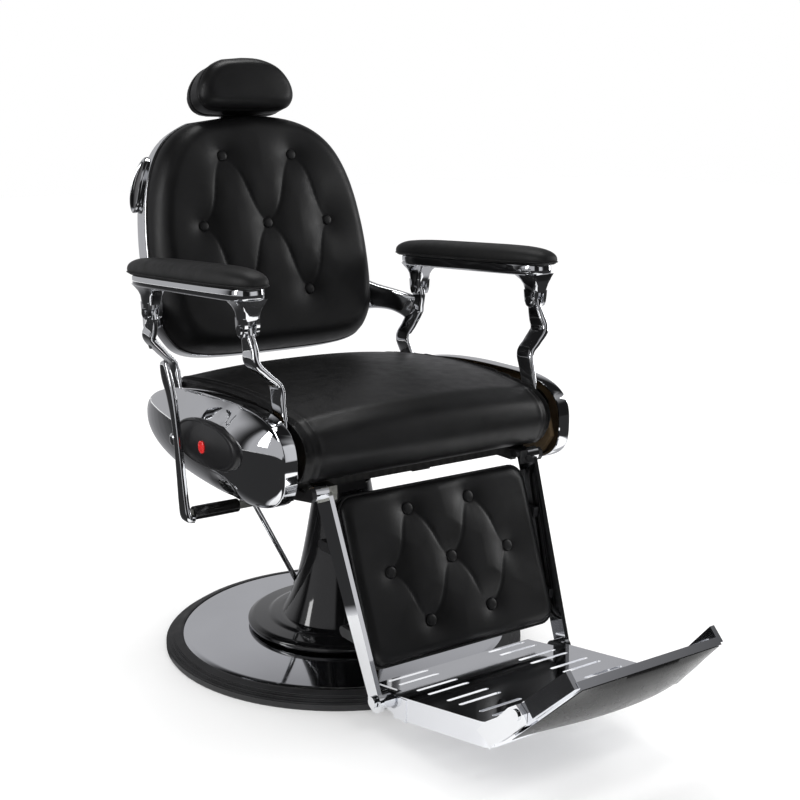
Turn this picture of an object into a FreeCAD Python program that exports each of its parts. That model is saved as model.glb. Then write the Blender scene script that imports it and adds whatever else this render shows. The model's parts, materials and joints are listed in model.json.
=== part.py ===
"""Hydraulic barber chair, in millimetres.

Origin: centre of the base on the floor. +Z is up, the sitter looks towards -Y,
the sitter's left is +X. Rest pose: seat lowest, back upright, legrest down.
"""
import FreeCAD, Part
import math
import os

Vec = FreeCAD.Vector
UP = Vec(0, 0, 1)
ACROSS = Vec(1, 0, 0)
SIDES = {"left": 1, "right": -1}
TOUCH = 0.3            # gap between faces of separate bodies
RUNNING_FIT = 0.05     # radial clearance of a pin in its bore

# base and hydraulic pump
BASE_RADIUS = 350.0
BASE_RING_WIDTH = 32.0
BASE_RING_HEIGHT = 26.0
BASE_DOME_TOP = 38.0
FLANGE_RADIUS = 190.0
FLANGE_TOP = 58.0
CONE_FOOT_RADIUS = 122.0
CONE_TOP_RADIUS = 54.0
CONE_TOP = 322.0
SHEET = 2.5
CYLINDER_RADIUS = 46.0
PISTON_RADIUS = 36.0
PISTON_TOP = 332.0
SPIGOT_RADIUS = 25.0
PUMP_PIVOT = Vec(-66.0, 60.0, 96.0)
PUMP_LEVER_END = Vec(-166.0, 60.0, 289.0)

# seat
SEAT_HALF_WIDTH = 262.0
SEAT_BOTTOM = 412.5
SEAT_TOP = 545.0
SEAT_REAR = 200.0
SEAT_FRONT = -318.0
FRAME_TOP = 400.0
FRAME_BOTTOM = 352.0
FRAME_BEAMS = (-150.0, 105.0)
BEAM = 30.0
BOARD = 12.0
HANDLE_HEIGHT = 106.0      # middle of the rear grab bar, up from the back origin

# side panels: an egg-shaped pressed shell with a flat rim and a domed face
RIM_INNER = 279.5
RIM_OUTER = 305.0
DOME_RISE = 40.0
PANEL_MIDDLE = -122.0
PANEL_FRONT_REACH = 188.0
PANEL_REAR_REACH = 346.0
PANEL_HALF_HEIGHT = 84.0
PANEL_CENTRE_Z = 451.0
PAD_LENGTH = 238.0
PAD_HEIGHT = 78.0
PAD_FACE = 353.0

# armrests: a parallelogram of front and rear supports
ARM_X = 307.0
FRONT_BOLT = (-201.5, 669.6)
REAR_BOLT = (175.7, 652.0)
LINK_SHIFT = (48.0, 214.3)
SUPPORT_X = 268.0
SUPPORT_THICK = 10.0
SUPPORT_WIDE = 38.0
ARM_BOLT_RADIUS = 5.0
PIVOT_PIN_RADIUS = 8.0
ARM_PAD_LENGTH = 492.0
ARM_PAD_WIDTH = 78.0
ARM_PAD_CENTRE_Y = -3.0
ARM_PLATE_BOTTOM = 706.0
ARM_PLATE_THICK = 20.0
ARM_PITCH = 2.4

# backrest, laid out upright and then leaned back
BACK_LEAN = 14.6
BACK_ORIGIN = Vec(0, 272.0, 797.0)
BACK_PAD_DEPTH = 80.0
BACK_SHELL_DEPTH = 42.0
HEAD_HALF_WIDTH = 107.0
HEAD_BOTTOM = 236.5
HEAD_TOP = 344.5

# legrest and footplate
LEG_PIVOT = (-288.0, 400.0)
FOOT_PIVOT = (-420.0, 72.0)
LEG_LEAN = 21.2
LEG_ORIGIN = Vec(0, -358.5, 262.0)
LEG_PAD_TOP = 139.0
LEG_PAD_BOTTOM = -150.0
LEG_PAD_HALF_WIDTH = 198.0
LEG_PAD_THICK = 54.0
FOOT_PITCH = 9.87
FOOT_EDGE = (-440.0, 88.0)
FOOT_LENGTH = 240.0
FOOT_TAIL = 74.0
FOOT_HALF_REAR = 186.0
FOOT_HALF_FRONT = 176.0
FOOT_SKIRT = 40.0
SHEET_FOOT = 3.0
FLAP_PIVOT = (-748.0, 172.0)
FLAP_TILT = 45.0

# reclining lever on the sitter's right
LEVER_PIVOT = (-50.0, 325.0)
LEVER_X = -362.0


# ---------------------------------------------------------------- helpers
def box(x0, x1, y0, y1, z0, z1):
    corner = Vec(min(x0, x1), min(y0, y1), min(z0, z1))
    return Part.makeBox(abs(x1 - x0), abs(y1 - y0), abs(z1 - z0), corner)


def rod(start, end, radius):
    """Round bar between two points."""
    along = end - start
    return Part.makeCylinder(radius, along.Length, start, along)


def cross_rod(y, z, x0, x1, radius):
    """Round bar along X."""
    return rod(Vec(min(x0, x1), y, z), Vec(max(x0, x1), y, z), radius)


def spin(profile):
    """Solid of revolution about Z from (radius, z) corners."""
    points = [Vec(r, 0, z) for r, z in profile]
    wire = Part.makePolygon(points + points[:1])
    return Part.Face(wire).revolve(Vec(0, 0, 0), UP, 360)


def side_plate_shape(outline, x0, x1):
    """Flat plate across X from (y, z) corners."""
    points = [Vec(x0, y, z) for y, z in outline]
    wire = Part.makePolygon(points + points[:1])
    return Part.Face(wire).extrude(Vec(x1 - x0, 0, 0))


def smooth_wire(points):
    curve = Part.BSplineCurve()
    curve.interpolate(points, PeriodicFlag=True)
    return Part.Wire([curve.toShape()])


def mirrored(outline):
    """Closes a right-hand half outline of (x, z) points over the Z axis."""
    left = [(-x, z) for x, z in reversed(outline) if x > 0]
    return outline + left


def slab(outline, y0, y1):
    """Smooth (x, z) outline given a thickness along Y."""
    wire = smooth_wire([Vec(x, y0, z) for x, z in outline])
    return Part.Face(wire).extrude(Vec(0, y1 - y0, 0))


def scaled(outline, inset, middle):
    """The outline drawn in by an inset on its widest and tallest side."""
    wide = max(x for x, z in outline)
    tall = max(abs(z - middle) for x, z in outline)
    kx = (wide - inset) / wide
    kz = (tall - inset) / tall
    return [(x * kx, middle + (z - middle) * kz) for x, z in outline]


def rounded_plate(x0, x1, y0, y1, z0, z1, radius):
    """Plate with rounded corners in plan."""
    solid = box(x0, x1, y0, y1, z0, z1)
    edges = [e for e in solid.Edges if abs(e.tangentAt(e.FirstParameter).z) > 0.99]
    return solid.makeFillet(radius, edges)


def rectangle_at(x, y, z, wide, deep):
    """Horizontal rectangle, thick along X and wide along Y."""
    a, b = wide / 2, deep / 2
    corners = [Vec(x - a, y - b, z), Vec(x + a, y - b, z), Vec(x + a, y + b, z), Vec(x - a, y + b, z)]
    return Part.makePolygon(corners + corners[:1])


def upright_bar(stations):
    """Bar drawn through horizontal rectangles (x, y, z, thick, wide), top to bottom."""
    wires = [rectangle_at(*s) for s in stations]
    return Part.makeLoft(wires, True, False)


def bore(solid, y, z, x0, x1, radius):
    """Cross hole that runs a little past both ends."""
    return solid.cut(cross_rod(y, z, min(x0, x1) - 1, max(x0, x1) + 1, radius))


def lean(solid, origin, angle):
    """Turns an upright-built solid about X and puts it at its origin."""
    placed = solid.copy()
    placed.rotate(Vec(0, 0, 0), ACROSS, -angle)
    placed.translate(origin)
    return placed


def group(solids):
    return Part.makeCompound(solids)


# ---------------------------------------------------------------- base
def base_ring():
    outer = BASE_RADIUS
    inner = BASE_RADIUS - BASE_RING_WIDTH
    groove = 2.0
    profile = [(inner, 0), (outer - 2, 0), (outer, 3)]
    steps = 3
    for i in range(steps):
        r = outer - i * 7.0
        z = 12.0 + i * 4.5
        profile += [(r, z), (r - groove, z + 0.5), (r - groove, z + 2.0), (r - 7.0, z + 3.0)]
    profile += [(inner + 4, BASE_RING_HEIGHT), (inner, BASE_RING_HEIGHT)]
    return spin(profile)


def base_weight():
    rim = BASE_RADIUS - BASE_RING_WIDTH
    return spin([(0, 0), (rim, 0), (rim, 6), (150, 9), (140, 20), (0, 20)])


def dome_height(radius):
    """Top of the chrome base cover at a radius."""
    rim = BASE_RADIUS - BASE_RING_WIDTH
    return BASE_RING_HEIGHT + (BASE_DOME_TOP - BASE_RING_HEIGHT) * (1 - (radius / rim) ** 2)


def base_cover():
    rim = BASE_RADIUS - BASE_RING_WIDTH
    radii = [rim, 290.0, 250.0, 210.0, 178.0]
    top = [(r, dome_height(r)) for r in radii]
    under = [(r - (SHEET if r == rim else 0), z - SHEET) for r, z in reversed(top)]
    return spin([(rim, 10.0)] + top + under + [(rim - SHEET, 10.5)])


def pump_flange():
    """Cast dish that bolts the pump to the base weight."""
    spigot = [(60, 20), (177, 20), (177, 36)]
    top = [(FLANGE_RADIUS, 38), (FLANGE_RADIUS, 46), (182, 50), (140, 54)]
    return spin(spigot + top + [(CONE_FOOT_RADIUS, FLANGE_TOP), (60, FLANGE_TOP)])


def cone_radius(z):
    """Outside of the bell cover: a wide foot that draws in to a slim neck."""
    fall = (CONE_TOP - z) / (CONE_TOP - FLANGE_TOP)
    return CONE_TOP_RADIUS + (CONE_FOOT_RADIUS - CONE_TOP_RADIUS) * (0.66 * fall + 0.34 * fall ** 5)


def pump_cone():
    levels = [FLANGE_TOP + i * (CONE_TOP - FLANGE_TOP) / 9 for i in range(10)]
    outside = [Vec(cone_radius(z), 0, z) for z in levels]
    inside = [Vec(cone_radius(z) - SHEET, 0, z) for z in levels]
    outer = Part.BSplineCurve()
    outer.interpolate(outside)
    inner = Part.BSplineCurve()
    inner.interpolate(inside)
    edges = [outer.toShape(), Part.makeLine(outside[-1], inside[-1])]
    edges += [inner.toShape(), Part.makeLine(inside[0], outside[0])]
    shell = Part.Face(Part.Wire(Part.__sortEdges__(edges))).revolve(Vec(0, 0, 0), UP, 360)
    slot = box(PUMP_PIVOT.x - 70, PUMP_PIVOT.x + 10, PUMP_PIVOT.y - 12, PUMP_PIVOT.y + 12, 92, 156)
    return shell.cut(slot)


def pump_cylinder():
    body = Part.makeCylinder(CYLINDER_RADIUS, 240, Vec(0, 0, FLANGE_TOP - 2))
    body = body.fuse(Part.makeCylinder(58, 2, Vec(0, 0, FLANGE_TOP - 2)))
    return body.cut(Part.makeCylinder(CYLINDER_RADIUS - 6, 240, Vec(0, 0, FLANGE_TOP + 4)))


def cylinder_gland():
    """Bush and wiper that guides the piston at the mouth of the cylinder."""
    top = Part.makeCylinder(CYLINDER_RADIUS, 12, Vec(0, 0, 296))
    plug = Part.makeCylinder(CYLINDER_RADIUS - 6, 26, Vec(0, 0, 270))
    return top.fuse(plug).cut(Part.makeCylinder(PISTON_RADIUS + RUNNING_FIT, 60, Vec(0, 0, 260)))


def pump_lever_bracket():
    """Pair of lugs inside the cone, with the pin that carries the pump lever."""
    p = PUMP_PIVOT
    lugs = [box(-44, p.x - 9, p.y + s * 9, p.y + s * 5.5, p.z - 9, p.z + 9) for s in (-1, 1)]
    post = box(-58, -30, p.y - 9, p.y + 9, FLANGE_TOP, p.z - 9.5)
    post = post.fuse(box(-44, -34, p.y - 9, p.y + 9, p.z - 10, p.z + 9))
    pin = rod(Vec(p.x, p.y - 9, p.z), Vec(p.x, p.y + 9, p.z), 4.0)
    return post.fuse(lugs).fuse(pin)


def base_bolts():
    bolts = []
    for i in range(6):
        angle = math.radians(30 + 60 * i)
        foot = Vec(100 * math.cos(angle), 100 * math.sin(angle), FLANGE_TOP)
        bolts.append(Part.makeCylinder(7, 7, foot))
    return group(bolts)


def pump_lever_rod():
    eye = Part.makeCylinder(9, 10, PUMP_PIVOT - Vec(0, 5, 0), Vec(0, 1, 0))
    bar = rod(PUMP_PIVOT, PUMP_LEVER_END, 5.0)
    hole = Part.makeCylinder(4.0 + RUNNING_FIT, 12, PUMP_PIVOT - Vec(0, 6, 0), Vec(0, 1, 0))
    return eye.fuse(bar).cut(hole)


def pump_lever_ball(lever):
    return Part.makeSphere(9.0, PUMP_LEVER_END).cut(lever)


# ---------------------------------------------------------------- lift and swivel
def piston_rod():
    shaft = Part.makeCylinder(PISTON_RADIUS, PISTON_TOP - 84, Vec(0, 0, 84))
    return shaft.fuse(Part.makeCylinder(SPIGOT_RADIUS, 20, Vec(0, 0, PISTON_TOP)))


def piston_head():
    return Part.makeCylinder(CYLINDER_RADIUS - 6 - 0.1, 20, Vec(0, 0, 64))


def thrust_bearing():
    ring = Part.makeCylinder(PISTON_RADIUS - 1, 6, Vec(0, 0, PISTON_TOP))
    return ring.cut(Part.makeCylinder(SPIGOT_RADIUS, 8, Vec(0, 0, PISTON_TOP - 1)))


def swivel_housing():
    cup = spin([(SPIGOT_RADIUS + RUNNING_FIT, PISTON_TOP + 6.3), (60, PISTON_TOP + 6.3), (72, FRAME_BOTTOM),
                (SPIGOT_RADIUS + RUNNING_FIT, FRAME_BOTTOM)])
    return cup


# ---------------------------------------------------------------- seat
def seat_frame():
    """Welded frame: centre plate, two rails, two cross beams and the legrest and lever lugs."""
    parts = [rounded_plate(-100, 100, -100, 100, FRAME_BOTTOM, FRAME_BOTTOM + 8, 12)]
    for side in SIDES.values():
        parts.append(box(side * 60, side * 100, FRAME_BEAMS[0], 165, FRAME_BOTTOM + 8, FRAME_TOP))
        parts.append(box(side * 238, side * 250, -222, FRAME_BEAMS[0] + BEAM, 372, FRAME_TOP))
        lug = side_plate_shape([(-200, 374), (-296, 388), (-302, 396), (-300, 406), (-292, 411),
                                (-272, 399.5), (-200, 399.5)], side * 240, side * 248)
        parts.append(lug)
        parts.append(cross_rod(LEG_PIVOT[0], LEG_PIVOT[1], side * 214, side * 246, 7.0))
    for y in FRAME_BEAMS:
        parts.append(box(-RIM_INNER, RIM_INNER, y, y + BEAM, 372, FRAME_TOP))
    parts.append(box(-200, -104, -240, FRAME_BEAMS[0] + 5, 377, FRAME_TOP))
    hanger = side_plate_shape([(-80, 361), (-66, 316), (-34, 316), (-20, 361)], -118, -110)
    parts.append(hanger)
    parts.append(box(-118, -90, -80, -20, 360, 368))
    frame = parts[0].fuse(parts[1:])
    return frame.removeSplitter()


def seat_board():
    return rounded_plate(-245, 245, -262, 188, FRAME_TOP, FRAME_TOP + BOARD, 20)


def seat_cushion():
    """Thick cushion with a rolled front edge."""
    front = Part.Arc(Vec(0, -284, SEAT_BOTTOM), Vec(0, SEAT_FRONT, 468), Vec(0, -262, 529)).toShape()
    top = Part.Arc(Vec(0, -262, 529), Vec(0, -60, SEAT_TOP), Vec(0, SEAT_REAR, 528)).toShape()
    rear = Part.makeLine(Vec(0, SEAT_REAR, 528), Vec(0, SEAT_REAR, SEAT_BOTTOM))
    bottom = Part.makeLine(Vec(0, SEAT_REAR, SEAT_BOTTOM), Vec(0, -284, SEAT_BOTTOM))
    face = Part.Face(Part.Wire([front, top, rear, bottom]))
    face.translate(Vec(-SEAT_HALF_WIDTH, 0, 0))
    return face.extrude(Vec(2 * SEAT_HALF_WIDTH, 0, 0))


def egg(y_reach, z_reach, front_power, rear_power, count, grow):
    """Egg outline (y, z) about the panel middle, blunt in front and slim behind."""
    points = []
    for i in range(count):
        angle = 2 * math.pi * i / count
        forward = math.cos(angle)
        upward = math.sin(angle)
        power = front_power if forward > 0 else rear_power
        reach = y_reach[0] if forward > 0 else y_reach[1]
        y = PANEL_MIDDLE - math.copysign(abs(forward) ** (2 / power), forward) * (reach * grow)
        z = PANEL_CENTRE_Z + math.copysign(abs(upward) ** (2 / power), upward) * z_reach * grow
        points.append((y, z))
    return points


def panel_body(side, inset):
    """Solid bowl of the side panel, drawn in by a wall thickness."""
    reach = (PANEL_FRONT_REACH - inset, PANEL_REAR_REACH - inset)
    half = PANEL_HALF_HEIGHT - inset
    wires = []
    levels = [(RIM_INNER - (1 if inset else 0), 1.0), (RIM_OUTER, 1.0)]
    for degrees in (20, 40, 58, 74):
        angle = math.radians(degrees)
        levels.append((RIM_OUTER + (DOME_RISE - inset) * math.sin(angle), math.cos(angle)))
    for x, grow in levels:
        outline = egg(reach, half, 3.0, 2.3, 28, grow)
        wires.append(smooth_wire([Vec(side * x, y, z) for y, z in outline]))
    return Part.makeLoft(wires, True, True)


def side_panel(side):
    return panel_body(side, 0).cut(panel_body(side, SHEET))


def side_pad(side):
    outline = []
    for i in range(20):
        angle = 2 * math.pi * i / 20
        y = -113 + PAD_LENGTH / 2 * math.copysign(abs(math.cos(angle)) ** 0.8, math.cos(angle))
        z = 462 + PAD_HEIGHT / 2 * math.copysign(abs(math.sin(angle)) ** 0.8, math.sin(angle))
        outline.append(Vec(side * 320, y, z))
    block = Part.Face(smooth_wire(outline)).extrude(Vec(side * (PAD_FACE - 320), 0, 0))
    return block.cut(panel_body(side, 0))


def side_badges():
    return group([cross_rod(-113, 460, side * PAD_FACE, side * (PAD_FACE + 3), 11.0) for side in SIDES.values()])


def side_plate(side):
    """Steel plate inside the panel, with the pivot studs of the supports and the panel posts."""
    outline = [(-288, 425), (-262, 392), (150, 392), (165, 420), (150, 462), (-200, 480), (-270, 478)]
    plate = side_plate_shape(outline, side * RIM_INNER, side * (RIM_INNER + 8))
    beams = box(side * RIM_INNER, side * (RIM_INNER + 8), -222, 135, 372, 393)
    studs = []
    for y, z in (pivot_of(FRONT_BOLT), pivot_of(REAR_BOLT)):
        studs.append(cross_rod(y, z, side * (SEAT_HALF_WIDTH + 0.6), side * (RIM_INNER + 4), PIVOT_PIN_RADIUS))
    for y in (-170, 40):
        studs.append(cross_rod(y, 440, side * (RIM_INNER + 4), side * 360, 8.0))
    inner = panel_body(side, SHEET)
    whole = plate.fuse([beams] + studs)
    outside = box(side * RIM_INNER, side * 400, -400, 400, 300, 600).cut(inner)
    return whole.cut(outside).removeSplitter()


# ---------------------------------------------------------------- arm supports and armrests
def pivot_of(bolt):
    return (bolt[0] - LINK_SHIFT[0], bolt[1] - LINK_SHIFT[1])


def support(side, bolt, bend_top, bend_low):
    """S-curved flat bar from the armrest bolt down and in to its pivot."""
    pivot = pivot_of(bolt)
    x_low = side * SUPPORT_X
    x_top = side * ARM_X
    thick = SUPPORT_THICK
    wide = SUPPORT_WIDE
    middle = [(bend_top[0] + bend_low[0]) / 2, (bend_top[1] + bend_low[1]) / 2]
    stations = [
        (x_top, bolt[0], bolt[1], 13.0, 24.0),
        (x_top, bolt[0], bolt[1] - 26, 13.0, 32.0),
        (x_top, bend_top[0], bend_top[1], 13.0, wide),
        ((x_top + x_low) / 2, middle[0], middle[1], 17.0, wide),
        (x_low, bend_low[0], bend_low[1], thick, wide),
        (x_low, (bend_low[0] + pivot[0]) / 2, (bend_low[1] + pivot[1]) / 2, thick, 34.0),
        (x_low, pivot[0], pivot[1], thick, 32.0),
    ]
    pieces = []
    for upper, lower in zip(stations, stations[1:]):
        pieces.append(upright_bar([upper, lower]))
    pieces.append(cross_rod(bolt[0], bolt[1], x_top - 6.5, x_top + 6.5, 12.0))
    pieces.append(cross_rod(pivot[0], pivot[1], x_low - thick / 2, x_low + thick / 2, 16.0))
    bar = pieces[0].fuse(pieces[1:]).removeSplitter()
    bar = bore(bar, bolt[0], bolt[1], x_top - 12, x_top + 12, ARM_BOLT_RADIUS + RUNNING_FIT)
    return bore(bar, pivot[0], pivot[1], x_low - 12, x_low + 12, PIVOT_PIN_RADIUS + RUNNING_FIT)


def front_support(side):
    return support(side, FRONT_BOLT, (-217, 622), (-223, 580))


def rear_support(side):
    return support(side, REAR_BOLT, (192, 604), (181, 552))


def pitch_arm(solid, side):
    """Armrests rise slightly towards the front."""
    tilted = solid.copy()
    tilted.rotate(Vec(side * ARM_X, ARM_PAD_CENTRE_Y, ARM_PLATE_BOTTOM), ACROSS, -ARM_PITCH)
    return tilted


def fork(side, bolt, flare):
    """Clevis that hangs from the arm plate over a support."""
    y, z = bolt
    top = ARM_PLATE_BOTTOM + 6
    ears = []
    for inner, outer in ((-14.5, -7.0), (7.0, 14.5)):
        outline = [(y - 40 - flare, top), (y - 18, z + 14), (y - 13, z - 4), (y - 6, z - 12), (y + 6, z - 12),
                   (y + 13, z - 4), (y + 18, z + 14), (y + 40 + flare, top)]
        ears.append(side_plate_shape(outline, side * ARM_X + inner, side * ARM_X + outer))
    crown = side_plate_shape([(y - 40 - flare, top), (y - 21, z + 20), (y + 21, z + 20), (y + 40 + flare, top)],
                             side * ARM_X - 14.5, side * ARM_X + 14.5)
    whole = crown.fuse(ears)
    return bore(whole, y, z, side * ARM_X - 20, side * ARM_X + 20, ARM_BOLT_RADIUS + RUNNING_FIT)


def arm_plate(side):
    half = ARM_PAD_WIDTH / 2 - 5
    y0 = ARM_PAD_CENTRE_Y - ARM_PAD_LENGTH / 2 + 22
    y1 = ARM_PAD_CENTRE_Y + ARM_PAD_LENGTH / 2 - 28
    x = side * ARM_X
    plate = rounded_plate(x - half, x + half, y0, y1, ARM_PLATE_BOTTOM, ARM_PLATE_BOTTOM + ARM_PLATE_THICK, 20)
    plate = pitch_arm(plate, side)
    forks = [fork(side, FRONT_BOLT, 6), fork(side, REAR_BOLT, 2)]
    return plate.fuse(forks).removeSplitter()


def arm_pad(side):
    """Boat-shaped pad: full in the middle, thin at both ends."""
    half_long = ARM_PAD_LENGTH / 2
    half_wide = ARM_PAD_WIDTH / 2
    wires = []
    base = ARM_PLATE_BOTTOM + ARM_PLATE_THICK
    for z, inset in ((base, 5.0), (base + 10, 0.0), (base + 22, 2.0), (base + 32, 12.0)):
        points = []
        for i in range(24):
            angle = 2 * math.pi * i / 24
            c, s = math.cos(angle), math.sin(angle)
            y = ARM_PAD_CENTRE_Y + (half_long - inset * 1.8) * math.copysign(abs(c) ** 0.62, c)
            x = side * ARM_X + (half_wide - inset) * math.copysign(abs(s) ** 0.62, s)
            points.append(Vec(x, y, z))
        wires.append(smooth_wire(points))
    return pitch_arm(Part.makeLoft(wires, True, True), side)


def arm_bolts(side):
    bolts = []
    for y, z in (FRONT_BOLT, REAR_BOLT):
        shank = cross_rod(y, z, side * ARM_X - 14.5, side * ARM_X + 14.5, ARM_BOLT_RADIUS)
        heads = [cross_rod(y, z, side * ARM_X + a, side * ARM_X + b, 8.5) for a, b in ((-17.5, -14.5), (14.5, 17.5))]
        bolts.append(shank.fuse(heads).removeSplitter())
    return group(bolts)


# ---------------------------------------------------------------- backrest and headrest
BACK_OUTLINE = mirrored([(0, 234), (112, 221), (184, 177), (226, 98), (245, -12), (245, -130),
                         (228, -205), (172, -245), (0, -252)])
HEAD_OUTLINE = mirrored([(0, HEAD_TOP), (40, HEAD_TOP - 3), (76, 326), (99, 299), (HEAD_HALF_WIDTH, 272),
                         (101, 251.5), (82, HEAD_BOTTOM + 3), (45, HEAD_BOTTOM + 0.5),
                         (0, HEAD_BOTTOM)])


def back_place(solid):
    return lean(solid, BACK_ORIGIN, BACK_LEAN)


def back_cushion():
    front = slab(scaled(BACK_OUTLINE, 14, -20), 0, 14)
    middle = slab(BACK_OUTLINE, 14, BACK_PAD_DEPTH)
    return back_place(front.fuse(middle))


def button_row(places, face_y, depth):
    """Round-headed upholstery buttons let into the face of a cushion."""
    return [Part.makeCylinder(11, depth, Vec(x, face_y - depth, z), Vec(0, 1, 0)) for x, z in places]


def back_button_places():
    return [(-79.3, 142), (79.3, 142), (-142.5, 2), (0, 2), (142.5, 2), (-77, -139), (77, -139)]


def back_buttons():
    return back_place(group(button_row(back_button_places(), 0, 3)))


def back_board():
    return back_place(slab(scaled(BACK_OUTLINE, 10, -20), BACK_PAD_DEPTH, BACK_PAD_DEPTH + BOARD))


def back_shell():
    """Deep chromed pan over the rear of the back."""
    y0 = BACK_PAD_DEPTH
    outer = slab(BACK_OUTLINE, y0, y0 + BACK_SHELL_DEPTH)
    inner = slab(scaled(BACK_OUTLINE, SHEET, -20), y0 - 1, y0 + BACK_SHELL_DEPTH - SHEET)
    slot = box(-27, 27, y0 + 13.5, y0 + 26.5, 190, 240)
    return back_place(outer.cut(inner).cut(slot))


def headrest_guide():
    y0 = BACK_PAD_DEPTH + BOARD
    block = box(-34, 34, y0, y0 + 16, 100, 150)
    return back_place(block.cut(box(-25 - TOUCH, 25 + TOUCH, y0 + 4 - TOUCH, y0 + 12 + TOUCH, 90, 160)))


def headrest_bar():
    """Sliding flat bar with the plate that carries the head pad."""
    y0 = BACK_PAD_DEPTH + BOARD + 4
    bar = box(-25, 25, y0, y0 + 8, 108, 318)
    plate = rounded_plate(-60, 60, y0 - 15, y0, HEAD_BOTTOM + 14, 312, 3)
    return back_place(bar.fuse(plate).removeSplitter())


def headrest_cushion():
    front = slab(scaled(HEAD_OUTLINE, 10, 280), -5, 6)
    middle = slab(HEAD_OUTLINE, 6, BACK_PAD_DEPTH + 1)
    return back_place(front.fuse(middle))


def back_bracket(side, neighbours):
    """Cast arm that joins the rear support to the side of the back."""
    wires = []
    stations = ((234, 309, 342, 590, 664), (249, 307, 338, 592, 662), (274, 246, 292, 602, 648),
                (ARM_X - 6.5, 174, 206, 588, 630))
    for x, y0, y1, z0, z1 in stations:
        corners = [Vec(side * x, y0, z0), Vec(side * x, y1, z0), Vec(side * x, y1, z1), Vec(side * x, y0, z1)]
        wires.append(Part.makePolygon(corners + corners[:1]))
    return Part.makeLoft(wires, True, True).cut(neighbours)


def handle_places():
    return [side * 214 for side in SIDES.values()]


def handle_ends():
    """Oval chrome cups that carry the rear grab bar."""
    y0 = BACK_PAD_DEPTH + BACK_SHELL_DEPTH
    cups = []
    for x in handle_places():
        outline = [Vec(x, y0 + 8 + 26 * math.cos(a), HANDLE_HEIGHT + 56 * math.sin(a))
                   for a in [2 * math.pi * i / 16 for i in range(16)]]
        wire = smooth_wire(outline)
        cups.append(Part.Face(wire).extrude(Vec(math.copysign(12, x), 0, 0)).cut(box(-400, 400, -100, y0, -300, 300)))
    return back_place(group(cups))


def handle_bar():
    y0 = BACK_PAD_DEPTH + BACK_SHELL_DEPTH
    return back_place(cross_rod(y0 + 15, HANDLE_HEIGHT, -214, 214, 11.0))


# ---------------------------------------------------------------- legrest
def leg_place(solid):
    """Legrest parts are built upright about the middle of the pad face, then leaned."""
    return lean(solid, LEG_ORIGIN, LEG_LEAN)


def legrest_cushion():
    block = box(-LEG_PAD_HALF_WIDTH, LEG_PAD_HALF_WIDTH, 0, LEG_PAD_THICK, LEG_PAD_BOTTOM, LEG_PAD_TOP)
    fronts = [e for e in block.Edges if e.BoundBox.YMax < 0.1]
    return leg_place(block.makeFillet(14, fronts))


def legrest_button_places():
    return [(-65.5, 100), (65.5, 100), (-126, 0), (0, 4), (126, 0), (-65.5, -94), (65.5, -94)]


def legrest_buttons():
    return leg_place(group(button_row(legrest_button_places(), 0, 3)))


def legrest_board():
    return leg_place(box(-188, 188, LEG_PAD_THICK, LEG_PAD_THICK + BOARD, LEG_PAD_BOTTOM + 8, LEG_PAD_TOP - 8))


def leg_arm(side):
    """Flat bar from the legrest pivot down to the footplate pivot, tapered and drawn in at the foot."""
    top = Vec(side * 220, LEG_PIVOT[0], LEG_PIVOT[1])
    foot = Vec(side * 203, FOOT_PIVOT[0], FOOT_PIVOT[1])
    wires = []
    for point, half in ((top, 25.0), (foot, 17.0)):
        a = Vec(point.x - side * 4, point.y - half, point.z)
        b = Vec(point.x + side * 4, point.y - half, point.z)
        c = Vec(point.x + side * 4, point.y + half, point.z)
        d = Vec(point.x - side * 4, point.y + half, point.z)
        wires.append(Part.makePolygon([a, b, c, d, a]))
    bar = Part.makeLoft(wires, True, True)
    knuckle = cross_rod(foot.y, foot.z, foot.x - 4, foot.x + 4, 19.0)
    boss = cross_rod(top.y, top.z, side * 215, side * (240 - TOUCH), 13.0)
    arm = bar.fuse([knuckle, boss]).removeSplitter()
    arm = bore(arm, LEG_PIVOT[0], LEG_PIVOT[1], side * 205, side * 245, 7.0 + RUNNING_FIT)
    return bore(arm, FOOT_PIVOT[0], FOOT_PIVOT[1], side * 190, side * 215, 6.0 + RUNNING_FIT)


def legrest_arms():
    return group([leg_arm(side) for side in SIDES.values()])


def leg_arm_middle(z):
    """Middle (x, y) of a legrest arm at a height."""
    share = (z - FOOT_PIVOT[1]) / (LEG_PIVOT[1] - FOOT_PIVOT[1])
    return 203 + 17 * share, FOOT_PIVOT[0] + (LEG_PIVOT[0] - FOOT_PIVOT[0]) * share


def legrest_crossbars(arms):
    """Two tubes behind the board, tied to the arms by a flat lug at each end."""
    lean_angle = math.radians(LEG_LEAN)
    depth = LEG_PAD_THICK + BOARD + 9
    bars = []
    for height in (-80, 70):
        y = LEG_ORIGIN.y + depth * math.cos(lean_angle) + height * math.sin(lean_angle)
        z = LEG_ORIGIN.z + height * math.cos(lean_angle) - depth * math.sin(lean_angle)
        arm_x, arm_y = leg_arm_middle(z)
        bar = cross_rod(y, z, 4 - arm_x, arm_x - 4, 9.0)
        lugs = [box(side * (arm_x - 9), side * (arm_x - 3), arm_y, y, z - 9, z + 9) for side in SIDES.values()]
        bars.append(bar.fuse(lugs))
    return group(bars).cut(arms)


# ---------------------------------------------------------------- footplate and flap
def foot_place(solid):
    return lean(solid, Vec(0, FOOT_EDGE[0], FOOT_EDGE[1]), FOOT_PITCH)


def tray(half_rear, half_front, length, y_rear, z0, z1):
    """Wedge-shaped block, wide at the rear."""
    corners = [Vec(-half_rear, y_rear, z0), Vec(half_rear, y_rear, z0),
               Vec(half_front, -length, z0), Vec(-half_front, -length, z0)]
    return Part.Face(Part.makePolygon(corners + corners[:1])).extrude(Vec(0, 0, z1 - z0))


def slot_rows():
    """Pairs of slots, evenly spaced down the plate."""
    return [64 - 84 * pair - 32 * row for pair in range(4) for row in range(2)]


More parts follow.
